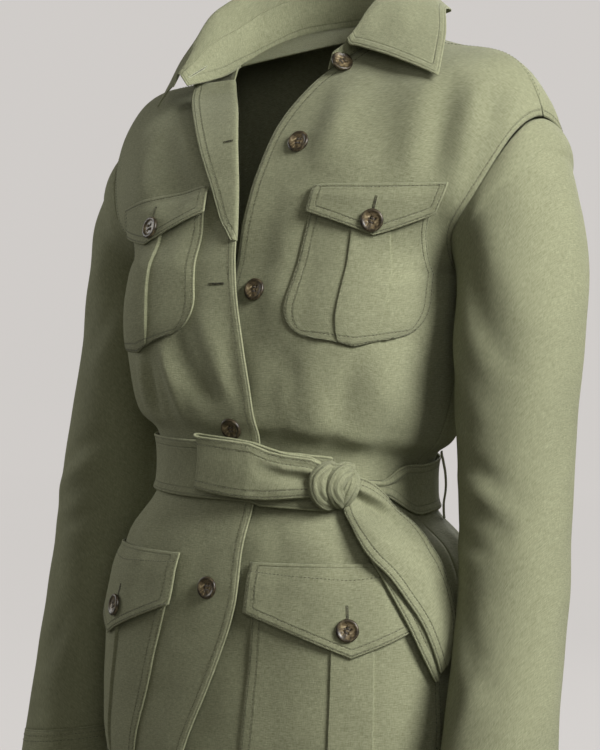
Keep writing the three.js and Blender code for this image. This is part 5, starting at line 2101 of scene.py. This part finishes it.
def make_backdrop():
    """A floor that curves up into a wall all round."""
    turn = np.linspace(0, 2 * np.pi, 97)[:-1]
    sweep = np.linspace(0, np.pi / 2, 14)
    profile = [(0.4, FLOOR), (BACKDROP_RADIUS - BACKDROP_CORNER, FLOOR)]
    profile += [
        (
            BACKDROP_RADIUS - BACKDROP_CORNER + BACKDROP_CORNER * math.sin(a),
            FLOOR + BACKDROP_CORNER * (1 - math.cos(a)),
        )
        for a in sweep[1:]
    ]
    profile.append((BACKDROP_RADIUS, BACKDROP_TOP))
    points = [(0, 0, FLOOR)]
    for radius, height in profile:
        points += [(radius * math.cos(a), radius * math.sin(a), height) for a in turn]
    count = len(turn)
    faces = []
    for k in range(count):
        n = (k + 1) % count
        faces.append((0, 1 + k, 1 + n))
        for ring in range(len(profile) - 1):
            a = 1 + ring * count
            faces.append((a + n, a + k, a + count + k, a + count + n))
    mesh = bpy.data.meshes.new("backdrop")
    mesh.from_pydata(points, [], faces)
    mesh.polygons.foreach_set("use_smooth", [True] * len(mesh.polygons))
    mesh.materials.append(backdrop_material())
    backdrop = bpy.data.objects.new("backdrop", mesh)
    bpy.context.scene.collection.objects.link(backdrop)
    backdrop.visible_diffuse = False
    backdrop.visible_glossy = False
    backdrop.visible_shadow = False


LIGHTS = table(
    "name turn height far size power color",
    ("key", 80, 0.9, 2.5, 1.2, 122, (1.0, 0.99, 0.985)),
    ("front", 38, 0.4, 3.0, 1.6, 12, (1.0, 0.985, 0.96)),
    ("rim", 280, 0.5, 2.8, 1.6, 27, (1.0, 0.98, 0.95)),
    ("back", 195, 0.8, 2.9, 2.0, 60, (1.0, 0.985, 0.96)),
)
LIGHT_HEIGHT = -0.35
WORLD_STRENGTH = 0.115
WORLD_COLOR = (1.0, 0.94, 0.80, 1)


def make_lights():
    target = Vector((0, 0, LIGHT_HEIGHT))
    for light in LIGHTS:
        lamp = bpy.data.lights.new(light["name"], "AREA")
        lamp.shape = "DISK"
        lamp.size = light["size"]
        lamp.energy = light["power"]
        lamp.color = light["color"]
        made = bpy.data.objects.new(light["name"], lamp)
        turn = math.radians(light["turn"])
        made.location = (
            light["far"] * math.sin(turn), -light["far"] * math.cos(turn), light["height"]
        )
        made.rotation_mode = "QUATERNION"
        made.rotation_quaternion = (target - made.location).to_track_quat("-Z", "Y")
        bpy.context.scene.collection.objects.link(made)
    world = bpy.data.worlds.new("studio")
    world.use_nodes = True
    background = world.node_tree.nodes["Background"]
    background.inputs["Color"].default_value = WORLD_COLOR
    background.inputs["Strength"].default_value = WORLD_STRENGTH
    bpy.context.scene.world = world


def make_camera():
    data = bpy.data.cameras.new("camera")
    data.sensor_fit = "HORIZONTAL"
    data.sensor_width = 36
    data.lens = FOCAL_PIXELS / FRAME_WIDTH * data.sensor_width
    data.shift_x = -(AXIS_PIXEL - FRAME_WIDTH / 2) / FRAME_WIDTH
    camera = bpy.data.objects.new("camera", data)
    camera.location = (
        CAMERA_DISTANCE * math.sin(CAMERA_TURN),
        -CAMERA_DISTANCE * math.cos(CAMERA_TURN),
        CAMERA_HEIGHT,
    )
    camera.rotation_euler = (math.pi / 2, 0, CAMERA_TURN)
    bpy.context.scene.collection.objects.link(camera)
    bpy.context.scene.camera = camera
    bpy.context.scene.view_settings.view_transform = "Standard"


# Everything in its place

BUTTON_MESH = drilled_button()
BUTTON_THREADS = button_threads()

make_back()
for side in ("left", "right"):
    make_front(side)
    make_sleeve(side)
    make_cuff(side)
    make_carrier(side)
sew_body()
make_stand()
make_leaf()
make_lapel()
for name, pocket in POCKETS.items():
    make_pocket(name, pocket)
    make_flap(name, pocket)
for node in BUTTONS:
    panel_button(node)
make_stand_button()
make_flap_buttons()
make_front_buttonholes()
make_belt()
make_bow()
make_tail("belt_tail_front", TAIL_FRONT)
make_tail("belt_tail_back", TAIL_BACK)
make_knot()
make_backdrop()
make_lights()
make_camera()
